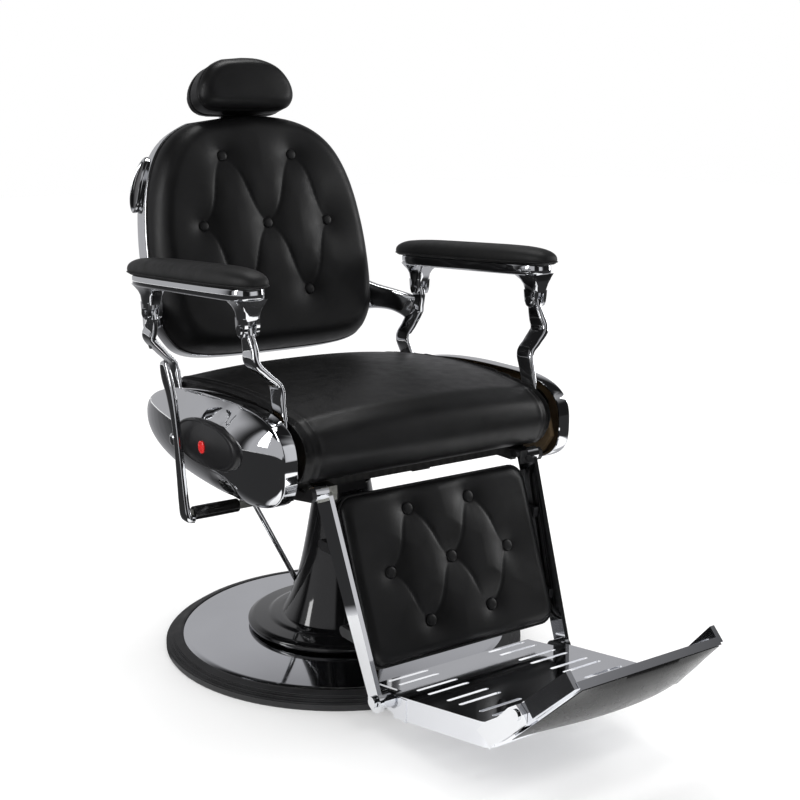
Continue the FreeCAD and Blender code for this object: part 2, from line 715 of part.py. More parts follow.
def tread_slot(x, y):
    body = box(x - 37, x + 37, y - 4.5, y + 4.5, -10, 10)
    ends = [Part.makeCylinder(4.5, 20, Vec(x + e, y, -10)) for e in (-37, 37)]
    return body.fuse(ends)


def footplate():
    t = SHEET_FOOT
    outer = tray(FOOT_HALF_REAR, FOOT_HALF_FRONT, FOOT_LENGTH, 0, -FOOT_SKIRT, 0)
    corners = [e for e in outer.Edges if abs(e.tangentAt(e.FirstParameter).z) > 0.99 and e.BoundBox.YMax < -100]
    outer = outer.makeFillet(16, corners)
    inner = tray(FOOT_HALF_REAR - t, FOOT_HALF_FRONT - t, FOOT_LENGTH - t, 1, -FOOT_SKIRT - 1, -t)
    tail = box(-165, 165, -10, FOOT_TAIL, -t, 0)
    plate = outer.cut(inner).fuse(tail)
    slots = [tread_slot(side * 108, y) for side in SIDES.values() for y in slot_rows()]
    plate = foot_place(plate.cut(Part.makeCompound(slots)))
    lugs = []
    for side in SIDES.values():
        y, z = FOOT_PIVOT
        outline = [(y - 60, z - 20), (y - 60, z + 20), (y - 6, z + 15), (y - 6, z - 15)]
        strap = side_plate_shape(outline, side * 179, side * 186)
        spacer = cross_rod(y, z, side * 179, side * (199 - TOUCH), 15.0)
        lugs += [strap, spacer]
    plate = plate.fuse(lugs)
    for side in SIDES.values():
        plate = bore(plate, FOOT_PIVOT[0], FOOT_PIVOT[1], side * 170, side * 205, 6.0)
    return plate.removeSplitter()


def footplate_pins():
    """Shouldered bolts of the footplate hinge, tight in the plate and free in the arms."""
    y, z = FOOT_PIVOT
    pins = []
    for side in SIDES.values():
        shank = cross_rod(y, z, side * 176, side * 208.6, 6.0)
        head = cross_rod(y, z, side * 208.6, side * 213, 10.0)
        pins.append(shank.fuse(head))
    return group(pins)


def flap_brackets(plate):
    """Side links fixed to the front corners of the footplate; the flap turns on their bolts."""
    y, z = FLAP_PIVOT
    links = []
    for side in SIDES.values():
        outline = [(y + 58, z - 72), (y + 90, z - 60), (y + 72, z - 40), (y + 42, z - 20), (y + 17, z + 5),
                   (y, z + 16), (y - 15, z + 6), (y - 14, z - 12), (y + 8, z - 34), (y + 36, z - 58)]
        link = side_plate_shape(outline, side * 172, side * 181)
        link = bore(link, y, z, side * 165, side * 190, 5.0)
        links.append(link.cut(plate))
    return group(links)


def flap_place(solid):
    return lean(solid, Vec(0, FLAP_PIVOT[0], FLAP_PIVOT[1]), FLAP_TILT)


def flap_outline(inset, z0, z1):
    """Trapezoid of the flap in its own flat frame, pivot at the origin."""
    rear, front = 42 - inset, -110 + inset
    wide, narrow = 167 - inset, 142 - inset
    corners = [Vec(-wide, rear, z0), Vec(wide, rear, z0), Vec(narrow, front, z0), Vec(-narrow, front, z0)]
    return Part.Face(Part.makePolygon(corners + corners[:1])).extrude(Vec(0, 0, z1 - z0))


def flap_plate():
    """Folding foot flap: flat plate with a side arm at each end."""
    plate = flap_outline(0, -21, -8)
    arms = []
    for side in SIDES.values():
        corners = [Vec(side * 171.4, 13, -17), Vec(side * 171.4, -20, -17), Vec(side * 150, -108, -17),
                   Vec(side * 141, -108, -17), Vec(side * 159, -16, -17), Vec(side * 159, 13, -17)]
        arm = Part.Face(Part.makePolygon(corners + corners[:1])).extrude(Vec(0, 0, 28))
        arm = bore(arm, 0, 0, side * 150, side * 175, 5.0 + RUNNING_FIT)
        arms.append(arm)
    return flap_place(plate.fuse(arms).removeSplitter())


def flap_pad():
    low = flap_outline(26, -42, -32)
    high = flap_outline(6, -32, -21)
    return flap_place(low.fuse(high))


def flap_bolts():
    """Bolts of the flap hinge, tight in the links."""
    y, z = FLAP_PIVOT
    bolts = []
    for side in SIDES.values():
        shank = cross_rod(y, z, side * 154, side * 181, 5.0)
        head = cross_rod(y, z, side * 181, side * 184, 9.0)
        bolts.append(shank.fuse(head))
    return group(bolts)


# ---------------------------------------------------------------- reclining lever
def lever_shaft():
    y, z = LEVER_PIVOT
    flat = box(-350, -118 - TOUCH, y - 4, y + 4, z - 7, z + 7)
    journal = cross_rod(y, z, -119, -98, 5.0)
    return flat.fuse(journal).removeSplitter()


def lever_sleeve(shaft):
    y, z = LEVER_PIVOT
    return cross_rod(y, z, -345, -255, 12.5).cut(shaft)


def lever_arm(shaft):
    """Flat hand lever that rises outside the side panel to a rounded paddle."""
    y, z = LEVER_PIVOT
    stations = [(y - 6, z - 10, 22), (y + 6, 400, 17), (y + 18, 480, 16), (y + 36, 535, 26), (y + 56, 588, 24)]
    pieces = []
    for (ya, za, wa), (yb, zb, wb) in zip(stations, stations[1:]):
        pieces.append(upright_bar([(LEVER_X, ya, za, 10.0, wa), (LEVER_X, yb, zb, 10.0, wb)]))
    foot = box(LEVER_X - 5, -345, y - 16, y + 9, z - 13, z + 13)
    return pieces[0].fuse(pieces[1:] + [foot]).cut(shaft).removeSplitter()


# ---------------------------------------------------------------- the whole chair
def seat_frame_bored():
    """The hanger carries the lever shaft's journal with a running fit."""
    y, z = LEVER_PIVOT
    return bore(seat_frame(), y, z, -120, -105, 5.0 + RUNNING_FIT)


def build():
    pump_lever = pump_lever_rod()
    shell = back_shell()
    cushion = back_cushion()
    board = back_board()
    arms = legrest_arms()
    plate = footplate()
    shaft = lever_shaft()
    nodes = {
        "base_ring": base_ring(),
        "base_weight": base_weight(),
        "base_cover": base_cover(),
        "pump_flange": pump_flange(),
        "pump_cone": pump_cone(),
        "pump_cylinder": pump_cylinder(),
        "cylinder_gland": cylinder_gland(),
        "pump_lever_bracket": pump_lever_bracket(),
        "base_bolts": base_bolts(),
        "pump_lever_rod": pump_lever,
        "pump_lever_ball": pump_lever_ball(pump_lever),
        "piston_rod": piston_rod(),
        "piston_head": piston_head(),
        "thrust_bearing": thrust_bearing(),
        "swivel_housing": swivel_housing(),
        "seat_frame": seat_frame_bored(),
        "seat_board": seat_board(),
        "seat_cushion": seat_cushion(),
        "side_badges": side_badges(),
        "back_cushion": cushion,
        "back_buttons": back_buttons(),
        "back_board": board,
        "back_shell": shell,
        "headrest_guide": headrest_guide(),
        "handle_ends": handle_ends(),
        "handle_bar": handle_bar(),
        "headrest_bar": headrest_bar(),
        "headrest_cushion": headrest_cushion(),
        "legrest_arms": arms,
        "legrest_crossbars": legrest_crossbars(arms),
        "legrest_board": legrest_board(),
        "legrest_cushion": legrest_cushion(),
        "legrest_buttons": legrest_buttons(),
        "footplate": plate,
        "footplate_pins": footplate_pins(),
        "flap_brackets": flap_brackets(plate),
        "flap_bolts": flap_bolts(),
        "flap_plate": flap_plate(),
        "flap_pad": flap_pad(),
        "lever_shaft": shaft,
        "lever_sleeve": lever_sleeve(shaft),
        "lever_arm": lever_arm(shaft),
    }
    for name, side in SIDES.items():
        nodes["side_plate_" + name] = side_plate(side)
        nodes["side_panel_" + name] = side_panel(side)
        nodes["side_pad_" + name] = side_pad(side)
        nodes["front_support_" + name] = front_support(side)
        rear_bar = rear_support(side)
        nodes["rear_support_" + name] = rear_bar
        nodes["back_bracket_" + name] = back_bracket(side, [shell, cushion, board, rear_bar])
        nodes["arm_plate_" + name] = arm_plate(side)
        nodes["arm_pad_" + name] = arm_pad(side)
        nodes["arm_bolts_" + name] = arm_bolts(side)
    return nodes


os.makedirs("parts", exist_ok=True)
for node, shape in build().items():
    shape.exportStep("parts/" + node + ".step")
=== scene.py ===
"""Looks of a hydraulic barber chair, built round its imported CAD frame. Metres; -Y is the front."""
import json
import math
import bmesh
import bpy
import numpy as np
from mathutils import Matrix, Vector


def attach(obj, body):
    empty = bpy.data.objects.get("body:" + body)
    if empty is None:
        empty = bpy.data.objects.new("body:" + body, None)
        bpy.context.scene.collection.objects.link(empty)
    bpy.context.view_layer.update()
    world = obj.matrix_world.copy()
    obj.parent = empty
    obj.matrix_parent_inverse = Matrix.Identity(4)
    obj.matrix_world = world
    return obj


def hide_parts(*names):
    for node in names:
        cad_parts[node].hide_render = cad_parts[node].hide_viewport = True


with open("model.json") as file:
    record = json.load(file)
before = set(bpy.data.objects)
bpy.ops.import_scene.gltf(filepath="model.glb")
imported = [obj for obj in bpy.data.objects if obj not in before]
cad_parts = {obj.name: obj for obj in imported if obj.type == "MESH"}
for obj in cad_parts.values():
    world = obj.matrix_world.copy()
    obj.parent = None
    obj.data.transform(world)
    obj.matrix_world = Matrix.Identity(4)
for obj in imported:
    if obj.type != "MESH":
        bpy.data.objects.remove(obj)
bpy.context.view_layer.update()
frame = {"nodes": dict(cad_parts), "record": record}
SIDES = {"left": 1, "right": -1}

# places that the looks share with the design
BACK_LEAN = math.radians(14.6)
BACK_ORIGIN = Vector((0, 0.272, 0.797))
LEG_LEAN = math.radians(21.2)
LEG_ORIGIN = Vector((0, -0.3585, 0.262))
FLAP_TILT = math.radians(45)
FLAP_ORIGIN = Vector((0, -0.748, 0.172))
ARM_X = 0.307
FRONT_BOLT = (-0.2015, 0.6696)
REAR_BOLT = (0.1757, 0.652)
FRONT_PIVOT = (-0.2495, 0.4553)
REAR_PIVOT = (0.1277, 0.4377)
SUPPORT_X = 0.268
FRONT_BENDS = ((-0.215, 0.616), (-0.222, 0.574))
REAR_BENDS = ((0.191, 0.600), (0.181, 0.550))
ARM_PITCH = math.radians(2.4)
ARM_PAD_BASE = 0.726
ARM_PAD_MIDDLE = -0.003
ARM_PAD_HALF_LENGTH = 0.246
ARM_PAD_HALF_WIDTH = 0.039
LEVER_X = -0.362


def leaned(origin, angle):
    """Frame at an origin, leaned back about X."""
    return Matrix.Translation(origin) @ Matrix.Rotation(-angle, 4, "X")


ARM_TURN = (Matrix.Translation((0, -0.003, 0.7095)) @ Matrix.Rotation(-ARM_PITCH, 4, "X")
            @ Matrix.Translation((0, 0.003, -0.706)))
BACK_PLACE = leaned(BACK_ORIGIN, BACK_LEAN)
LEG_PLACE = leaned(LEG_ORIGIN, LEG_LEAN)
FLAP_PLACE = leaned(FLAP_ORIGIN, FLAP_TILT)


# ------------------------------------------------------------------ mesh tools
def mesh_object(name, verts, faces, sharp=None):
    mesh = bpy.data.meshes.new(name)
    mesh.from_pydata([tuple(v) for v in verts], [], faces)
    mesh.update()
    mesh.shade_smooth()
    if sharp is not None:
        mesh.set_sharp_from_angle(angle=math.radians(sharp))
    obj = bpy.data.objects.new(name, mesh)
    bpy.context.scene.collection.objects.link(obj)
    return obj


def outward(obj):
    """Turns all faces to point out of a closed mesh."""
    bm = bmesh.new()
    bm.from_mesh(obj.data)
    bmesh.ops.recalc_face_normals(bm, faces=bm.faces)
    bm.to_mesh(obj.data)
    bm.free()
    return obj


def baked(obj):
    """Applies every modifier to the mesh."""
    graph = bpy.context.evaluated_depsgraph_get()
    mesh = bpy.data.meshes.new_from_object(obj.evaluated_get(graph))
    obj.modifiers.clear()
    obj.data = mesh
    return obj


def skin(name, rings, sharp=None, closed=False):
    """Surface over rings of equal length; ends are capped unless the rings close on themselves."""
    count = len(rings[0])
    verts = [v for ring in rings for v in ring]
    faces = []
    spans = len(rings) if closed else len(rings) - 1
    for i in range(spans):
        a = i * count
        b = ((i + 1) % len(rings)) * count
        for j in range(count):
            k = (j + 1) % count
            faces.append((a + j, a + k, b + k, b + j))
    if not closed:
        faces.append(tuple(reversed(range(count))))
        faces.append(tuple(range(len(verts) - count, len(verts))))
    return outward(mesh_object(name, verts, faces, sharp))


def oval(centre, a, b, power=2.0, count=32):
    """Ring round a centre: a and b are half-axis vectors, power 2 is an ellipse, more is squarer."""
    ring = []
    for i in range(count):
        angle = 2 * math.pi * i / count
        c, s = math.cos(angle), math.sin(angle)
        u = math.copysign(abs(c) ** (2 / power), c)
        v = math.copysign(abs(s) ** (2 / power), s)
        ring.append(Vector(centre) + u * Vector(a) + v * Vector(b))
    return ring


def spline(points, steps=8):
    """Catmull-Rom through control rows of numbers."""
    rows = [np.array(p, float) for p in points]
    rows = [2 * rows[0] - rows[1]] + rows + [2 * rows[-1] - rows[-2]]
    out = []
    for i in range(1, len(rows) - 2):
        p0, p1, p2, p3 = rows[i - 1:i + 3]
        for k in range(steps):
            t = k / steps
            out.append(0.5 * (2 * p1 + (p2 - p0) * t + (2 * p0 - 5 * p1 + 4 * p2 - p3) * t * t
                              + (3 * p1 - p0 - 3 * p2 + p3) * t ** 3))
    out.append(rows[-2])
    return out


def bar(name, stations, wide_axis, power=6.0, steps=8, count=32, cap=0.35):
    """Bar along a smooth path. A station is (x, y, z, half width, half thickness)."""
    rows = spline(stations, steps)
    axis = Vector(wide_axis)
    rings = []
    for i, row in enumerate(rows):
        before = Vector(rows[max(i - 1, 0)][:3])
        after = Vector(rows[min(i + 1, len(rows) - 1)][:3])
        along = (after - before).normalized()
        wide = (axis - axis.dot(along) * along).normalized()
        thick = along.cross(wide)
        rings.append((Vector(row[:3]), along, wide * row[3], thick * row[4]))
    sections = []
    first, last = rings[0], rings[-1]
    for scale, push in ((0.55, 1.0), (0.85, 0.6)):
        reach = min(first[2].length, first[3].length) * cap
        sections.append(oval(first[0] - first[1] * reach * push, first[2] * scale, first[3] * scale,
                             power, count))
    sections += [oval(c, a, b, power, count) for c, t, a, b in rings]
    for scale, push in ((0.85, 0.6), (0.55, 1.0)):
        reach = min(last[2].length, last[3].length) * cap
        sections.append(oval(last[0] + last[1] * reach * push, last[2] * scale, last[3] * scale, power,
                             count))
    return skin(name, sections, sharp=50)


def lathe(name, profile, place=None, count=96, sharp=40):
    """Solid of revolution about Z from (radius, height) points that start and end on the axis or close."""
    rings = []
    for r, z in profile:
        rings.append([Vector((r * math.cos(t), r * math.sin(t), z))
                      for t in [2 * math.pi * i / count for i in range(count)]])
    obj = skin(name, rings, sharp)
    if place is not None:
        obj.data.transform(place)
    return obj


def rounded_profile(points, radius, steps=5):
    """Rounds every inner corner of an open (r, z) line."""
    out = [points[0]]
    for before, here, after in zip(points, points[1:], points[2:]):
        h = Vector(here)
        a = Vector(before) - h
        b = Vector(after) - h
        cut = min(radius, a.length * 0.45, b.length * 0.45)
        start = h + a.normalized() * cut
        end = h + b.normalized() * cut
        for k in range(steps + 1):
            t = k / steps
            out.append(tuple((1 - t) ** 2 * start + 2 * t * (1 - t) * h + t * t * end))
    out.append(points[-1])
    return out


def tube(name, points, radius, closed=True, count=10):
    """Round cord through points, for piping and seams."""
    rings = []
    total = len(points)
    for i, p in enumerate(points):
        before = points[(i - 1) % total] if closed else points[max(i - 1, 0)]
        after = points[(i + 1) % total] if closed else points[min(i + 1, total - 1)]
        along = (after - before).normalized()
        side = along.cross(Vector((0.3, 0.5, 0.81))).normalized()
        up = along.cross(side)
        rings.append(oval(p, side * radius, up * radius, 2.0, count))
    return skin(name, rings, closed=closed)


def join(name, objects):
    """Merges meshes of one material into one piece."""
    bm = bmesh.new()
    for obj in objects:
        bm.from_mesh(obj.data)
        bpy.data.objects.remove(obj)
    mesh = bpy.data.meshes.new(name)
    bm.to_mesh(mesh)
    bm.free()
    obj = bpy.data.objects.new(name, mesh)
    bpy.context.scene.collection.objects.link(obj)
    return obj


def mirrored(outline):
    """Closes a right-hand half outline of (x, z) points over the Z axis."""
    return outline + [(-x, z) for x, z in reversed(outline) if x > 0]


def closed_spline(outline, steps=8):
    """Smooth closed outline through (x, z) points."""
    rows = outline[-2:] + outline + outline[:2]
    fine = spline(rows, steps)
    return [tuple(p) for p in fine[2 * steps:-2 * steps - 1]]


def remeshed(obj, voxel, rounds=0):
    """Even mesh of the same form, with its edges eased by smoothing rounds."""
    mod = obj.modifiers.new("voxels", "REMESH")
    mod.mode = "VOXEL"
    mod.voxel_size = voxel
    if rounds:
        ease = obj.modifiers.new("ease", "SMOOTH")
        ease.factor = 0.5
        ease.iterations = rounds
    baked(obj)
    obj.data.shade_smooth()
    return obj


def positions(obj):
    data = np.empty(len(obj.data.vertices) * 3)
    obj.data.vertices.foreach_get("co", data)
    return data.reshape(-1, 3)


def normals(obj):
    data = np.empty(len(obj.data.vertices) * 3)
    obj.data.vertices.foreach_get("normal", data)
    return data.reshape(-1, 3)


def put_positions(obj, co):
    obj.data.vertices.foreach_set("co", co.reshape(-1))
    obj.data.update()


# ------------------------------------------------------------------ materials
def material(name, color, rough, metal=0.0, **extra):
    """Principled material with one colour; the caller adds the detail."""
    mat = bpy.data.materials.new(name)
    mat.use_nodes = True
    shader = mat.node_tree.nodes["Principled BSDF"]
    shader.inputs["Base Color"].default_value = (*color, 1)
    shader.inputs["Roughness"].default_value = rough
    shader.inputs["Metallic"].default_value = metal
    for key, value in extra.items():
        shader.inputs[key.replace("_", " ")].default_value = value
    return mat, mat.node_tree, shader


def noise(tree, scale, detail=3.0, kind="ShaderNodeTexNoise"):
    coords = tree.nodes.new("ShaderNodeTexCoord")
    node = tree.nodes.new(kind)
    node.inputs["Scale"].default_value = scale
    if "Detail" in node.inputs:
        node.inputs["Detail"].default_value = detail
    tree.links.new(coords.outputs["Object"], node.inputs["Vector"])
    return node


def ranged(tree, socket, low, high, target):
    """Spreads a 0 to 1 texture over low to high and feeds a shader socket."""
    spread = tree.nodes.new("ShaderNodeMapRange")
    spread.inputs["From Min"].default_value = 0.3
    spread.inputs["From Max"].default_value = 0.7
    spread.inputs["To Min"].default_value = low
    spread.inputs["To Max"].default_value = high
    tree.links.new(socket, spread.inputs["Value"])
    tree.links.new(spread.outputs["Result"], target)


def shaded(tree, socket, dark, light, target):
    ramp = tree.nodes.new("ShaderNodeValToRGB")
    ramp.color_ramp.elements[0].position = 0.3
    ramp.color_ramp.elements[0].color = (*dark, 1)
    ramp.color_ramp.elements[1].position = 0.7
    ramp.color_ramp.elements[1].color = (*light, 1)
    tree.links.new(socket, ramp.inputs["Fac"])
    tree.links.new(ramp.outputs["Color"], target)


def bumped(tree, shader, layers):
    """Chains bump layers of (height socket, strength, distance in metres)."""
    previous = None
    for socket, strength, distance in layers:
        bump = tree.nodes.new("ShaderNodeBump")
        bump.inputs["Strength"].default_value = strength
        bump.inputs["Distance"].default_value = distance
        tree.links.new(socket, bump.inputs["Height"])
        if previous is not None:
            tree.links.new(previous.outputs["Normal"], bump.inputs["Normal"])
        previous = bump
    tree.links.new(previous.outputs["Normal"], shader.inputs["Normal"])


def make_leather(name, dark, light, smooth, rough):
    mat, tree, shader = material(name, light, smooth, Specular_IOR_Level=0.36)
    tone = noise(tree, 14.0)
    shaded(tree, tone.outputs[0], dark, light, shader.inputs["Base Color"])
    wear = noise(tree, 45.0)
    ranged(tree, wear.outputs[0], smooth, rough, shader.inputs["Roughness"])
    grain = noise(tree, 750.0, kind="ShaderNodeTexVoronoi")
    wrinkle = noise(tree, 120.0, 5.0)
    bumped(tree, shader, [(wrinkle.outputs[0], 0.12, 0.0006), (grain.outputs["Distance"], 0.16, 0.0004)])
    return mat


def make_chrome(name, color, low, high, wave):
    mat, tree, shader = material(name, color, low, 1.0)
    haze = noise(tree, 22.0)
    ranged(tree, haze.outputs[0], low, high, shader.inputs["Roughness"])
    tone = noise(tree, 6.0)
    dim = tuple(c * 0.93 for c in color)
    shaded(tree, tone.outputs[0], dim, color, shader.inputs["Base Color"])
    ripple = noise(tree, 11.0, 1.0)
    bumped(tree, shader, [(ripple.outputs[0], wave, 0.004)])
    return mat


def make_paint(name, color, low, high, peel, coat):
    mat, tree, shader = material(name, color, low, Coat_Weight=coat, Coat_Roughness=0.04)
    haze = noise(tree, 30.0)
    ranged(tree, haze.outputs[0], low, high, shader.inputs["Roughness"])
    tone = noise(tree, 8.0)
    shaded(tree, tone.outputs[0], color, tuple(c * 1.35 for c in color), shader.inputs["Base Color"])
    skin_tex = noise(tree, 260.0, 2.0)
    bumped(tree, shader, [(skin_tex.outputs[0], peel, 0.0004)])
    return mat


def make_rubber(name, color):
    mat, tree, shader = material(name, color, 0.55)
    dust = noise(tree, 26.0, 6.0)
    shaded(tree, dust.outputs[0], color, tuple(c * 2.0 for c in color), shader.inputs["Base Color"])
    ranged(tree, dust.outputs[0], 0.42, 0.62, shader.inputs["Roughness"])
    pores = noise(tree, 900.0, 2.0)
    bumped(tree, shader, [(pores.outputs[0], 0.25, 0.0004)])
    return mat


def make_metal(name, color, low, high, grain_scale):
    mat, tree, shader = material(name, color, low, 1.0)
    streak = noise(tree, grain_scale, 6.0)
    ranged(tree, streak.outputs[0], low, high, shader.inputs["Roughness"])
    shaded(tree, streak.outputs[0], tuple(c * 0.7 for c in color), color, shader.inputs["Base Color"])
    bumped(tree, shader, [(streak.outputs[0], 0.15, 0.0005)])
    return mat


def make_wood(name, dark, light):
    mat, tree, shader = material(name, light, 0.6)
    grain = noise(tree, 18.0, 4.0, "ShaderNodeTexWave")
    grain.inputs["Distortion"].default_value = 6.0
    shaded(tree, grain.outputs[0], dark, light, shader.inputs["Base Color"])
    bumped(tree, shader, [(grain.outputs[0], 0.2, 0.0005)])
    return mat


LEATHER = make_leather("black_leather", (0.0030, 0.0030, 0.0033), (0.0055, 0.0055, 0.0060), 0.36, 0.46)
PAD_LEATHER = make_leather("arm_leather", (0.0060, 0.0060, 0.0062), (0.0105, 0.0105, 0.0108), 0.46, 0.56)
FLAP_LEATHER = make_leather("flap_leather", (0.0035, 0.0035, 0.0036), (0.006, 0.006, 0.006), 0.22, 0.30)
CHROME = make_chrome("chrome", (0.84, 0.85, 0.87), 0.03, 0.07, 0.05)
FLAT_CHROME = make_chrome("sheet_chrome", (0.80, 0.81, 0.84), 0.045, 0.09, 0.02)
BRONZE = make_paint("panel_inside", (0.13, 0.090, 0.050), 0.3, 0.45, 0.1, 0.2)
ENAMEL = make_paint("gloss_black", (0.004, 0.004, 0.0045), 0.05, 0.1, 0.03, 0.6)
SATIN_BLACK = make_paint("frame_black", (0.01, 0.01, 0.011), 0.35, 0.5, 0.2, 0.0)
MOULDED = make_paint("pad_plastic", (0.008, 0.008, 0.009), 0.3, 0.4, 0.1, 0.0)
SLEEVE = make_paint("lever_sleeve", (0.005, 0.005, 0.005), 0.14, 0.26, 0.35, 0.3)
RED = make_paint("badge_red", (0.55, 0.012, 0.012), 0.22, 0.32, 0.02, 0.4)
RUBBER = make_rubber("ring_rubber", (0.012, 0.012, 0.013))
ZINC = make_metal("zinc", (0.52, 0.52, 0.48), 0.28, 0.45, 160.0)
IRON = make_metal("iron", (0.06, 0.06, 0.065), 0.5, 0.7, 60.0)
PLY = make_wood("stained_ply", (0.006, 0.006, 0.006), (0.014, 0.013, 0.012))
THREAD = make_rubber("thread", (0.01, 0.01, 0.011))

SLOT_LOOKS = {
    "chrome": CHROME, "rubber_black": RUBBER, "gloss_black": ENAMEL, "cast_iron": IRON,
    "machined_steel": ZINC, "frame_black": SATIN_BLACK, "plywood": PLY, "black_leather": LEATHER,
    "pad_black": MOULDED, "sleeve_black": SLEEVE, "badge_red": RED,
}


def dress(obj, mat):
    obj.data.materials.clear()
    obj.data.materials.append(mat)
    return obj


def finish_piece(obj, mat, slot, body, *nodes):
    """Material, record slot (not used), body and the CAD nodes a new piece stands for."""
    dress(obj, mat)
    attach(obj, body)
    if nodes:
        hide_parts(*nodes)
    return obj


def soften_edges(node, width, segments=3):
    """Rounds the edges of a CAD piece with a bevel."""
    mod = frame["nodes"][node].modifiers.new("edges", "BEVEL")
    mod.width = width
    mod.segments = segments
    mod.limit_method = "ANGLE"
    mod.angle_limit = math.radians(40)
    mod.harden_normals = False


def dress_frame():
    """Gives each CAD piece the detailed material of its slot."""
    for sub in frame["record"]["subparts"]:
        obj = frame["nodes"][sub["node"]]
        mat = SLOT_LOOKS[sub["material_slot"]]
        for slot in obj.material_slots:
            slot.link = "OBJECT"
            slot.material = mat
    for node, mat in (("footplate", FLAT_CHROME), ("flap_plate", FLAT_CHROME),
                      ("side_plate_left", BRONZE), ("side_plate_right", BRONZE)):
        for slot in frame["nodes"][node].material_slots:
            slot.material = mat


# ------------------------------------------------------------------ upholstery
BACK_HALF = [(0, 0.234), (0.112, 0.221), (0.184, 0.177), (0.226, 0.098), (0.245, -0.012),
             (0.245, -0.130), (0.228, -0.205), (0.172, -0.245), (0, -0.252)]
HEAD_HALF = [(0, 0.3445), (0.040, 0.3415), (0.076, 0.326), (0.099, 0.299), (0.107, 0.272),
             (0.101, 0.2515), (0.082, 0.2395), (0.045, 0.237), (0, 0.2365)]
BACK_OUTLINE = closed_spline(mirrored(BACK_HALF))
HEAD_OUTLINE = closed_spline(mirrored(HEAD_HALF))
BACK_BUTTONS = [(-0.0793, 0.142), (0.0793, 0.142), (-0.1425, 0.002), (0, 0.002), (0.1425, 0.002),
                (-0.077, -0.139), (0.077, -0.139)]
LEG_BUTTONS = [(-0.0655, 0.100), (0.0655, 0.100), (-0.126, 0), (0, 0.004), (0.126, 0), (-0.0655, -0.094),
               (0.0655, -0.094)]
TUFT_LINKS = [(0, 2), (0, 3), (1, 3), (1, 4), (2, 5), (3, 5), (3, 6), (4, 6)]


def inset_ring(outline, inset, y):
    """Outline drawn in evenly towards its own middle, at depth y."""
    xs = [x for x, z in outline]
    zs = [z for x, z in outline]
    mid_x, mid_z = (min(xs) + max(xs)) / 2, (min(zs) + max(zs)) / 2
    sx = 1 - inset / (max(xs) - mid_x)
    sz = 1 - inset / (max(zs) - mid_z)
    return [Vector((mid_x + (x - mid_x) * sx, y, mid_z + (z - mid_z) * sz)) for x, z in outline]


def pillow_block(name, outline, rear, straight, face, roll):
    """Block whose face edge is rolled: rear and straight are depths, face the front plane."""
    rings = [inset_ring(outline, 0.003, rear), inset_ring(outline, 0, rear - 0.003),
             inset_ring(outline, 0, straight)]
    for k in range(1, 11):
        t = math.radians(90 * k / 10)
        rings.append(inset_ring(outline, roll * (1 - math.cos(t)),
                                face + (straight - face) * (1 - math.sin(t))))
    return skin(name, rings)


def dome_over(outline, xs, zs, power):
    """Smooth crown: 1 in the middle, 0 at the outline's box."""
    ox = [x for x, z in outline]
    oz = [z for x, z in outline]
    mid_z, half_z = (min(oz) + max(oz)) / 2, (max(oz) - min(oz)) / 2
    across = np.clip(1 - np.abs(xs / max(ox)) ** power, 0, 1)
    along = np.clip(1 - np.abs((zs - mid_z) / half_z) ** power, 0, 1)
    return across * along


def crease_points(a, b, bend, count=14):
    """S-shaped fold line between two buttons."""
    a, b = np.array(a), np.array(b)
    along = b - a
    across = np.array([-along[1], along[0]])
    p1 = a + along * 0.33 + across * bend
    p2 = a + along * 0.67 - across * bend
    ts = np.linspace(0, 1, count)[:, None]
    return (1 - ts) ** 3 * a + 3 * ts * (1 - ts) ** 2 * p1 + 3 * ts ** 2 * (1 - ts) * p2 + ts ** 3 * b


def line_distance(points, xs, zs):
    """Distance of points from an open line, in its plane."""
    best = np.full(len(xs), 1e9)
    for (ax, az), (bx, bz) in zip(points, points[1:]):
        dx, dz = bx - ax, bz - az
        t = np.clip(((xs - ax) * dx + (zs - az) * dz) / (dx * dx + dz * dz + 1e-12), 0, 1)
        best = np.minimum(best, np.hypot(xs - ax - t * dx, zs - az - t * dz))
    return best


def tuft_depth(xs, zs, buttons, fold, dent):
    """How far the cover is drawn in at each point: cupped at buttons, creased along the folds."""
    depth = np.zeros(len(xs))
    for bx, bz in buttons:
        r = np.hypot(xs - bx, zs - bz)
        cup = dent * np.exp(-(r / 0.036) ** 1.4)
        depth = np.maximum(depth, cup)
    folds = np.zeros(len(xs))
    for i, j in TUFT_LINKS:
        bend = 0.15 if buttons[j][0] > buttons[i][0] else -0.15
        line = crease_points(buttons[i], buttons[j], bend)
        d = line_distance(line, xs, zs)
        folds = np.maximum(folds, fold * (0.50 * np.exp(-d / 0.0026) + 0.50 * np.exp(-(d / 0.017) ** 2)))
    return np.hypot(depth, folds * 0.7) + folds * 0.3


def button(name, place, radius=0.0105):
    """Covered button: a low dome with a turned-in rim."""
    profile = [(1e-5, -0.004), (radius * 0.8, -0.004), (radius, -0.002), (radius, 0.0002),
               (radius * 0.95, 0.0014),
               (radius * 0.80, 0.0024), (radius * 0.5, 0.0031), (1e-5, 0.0034)]
    upright = Matrix.Rotation(math.radians(90), 4, "X")
    return lathe(name, profile, place @ upright, count=32)


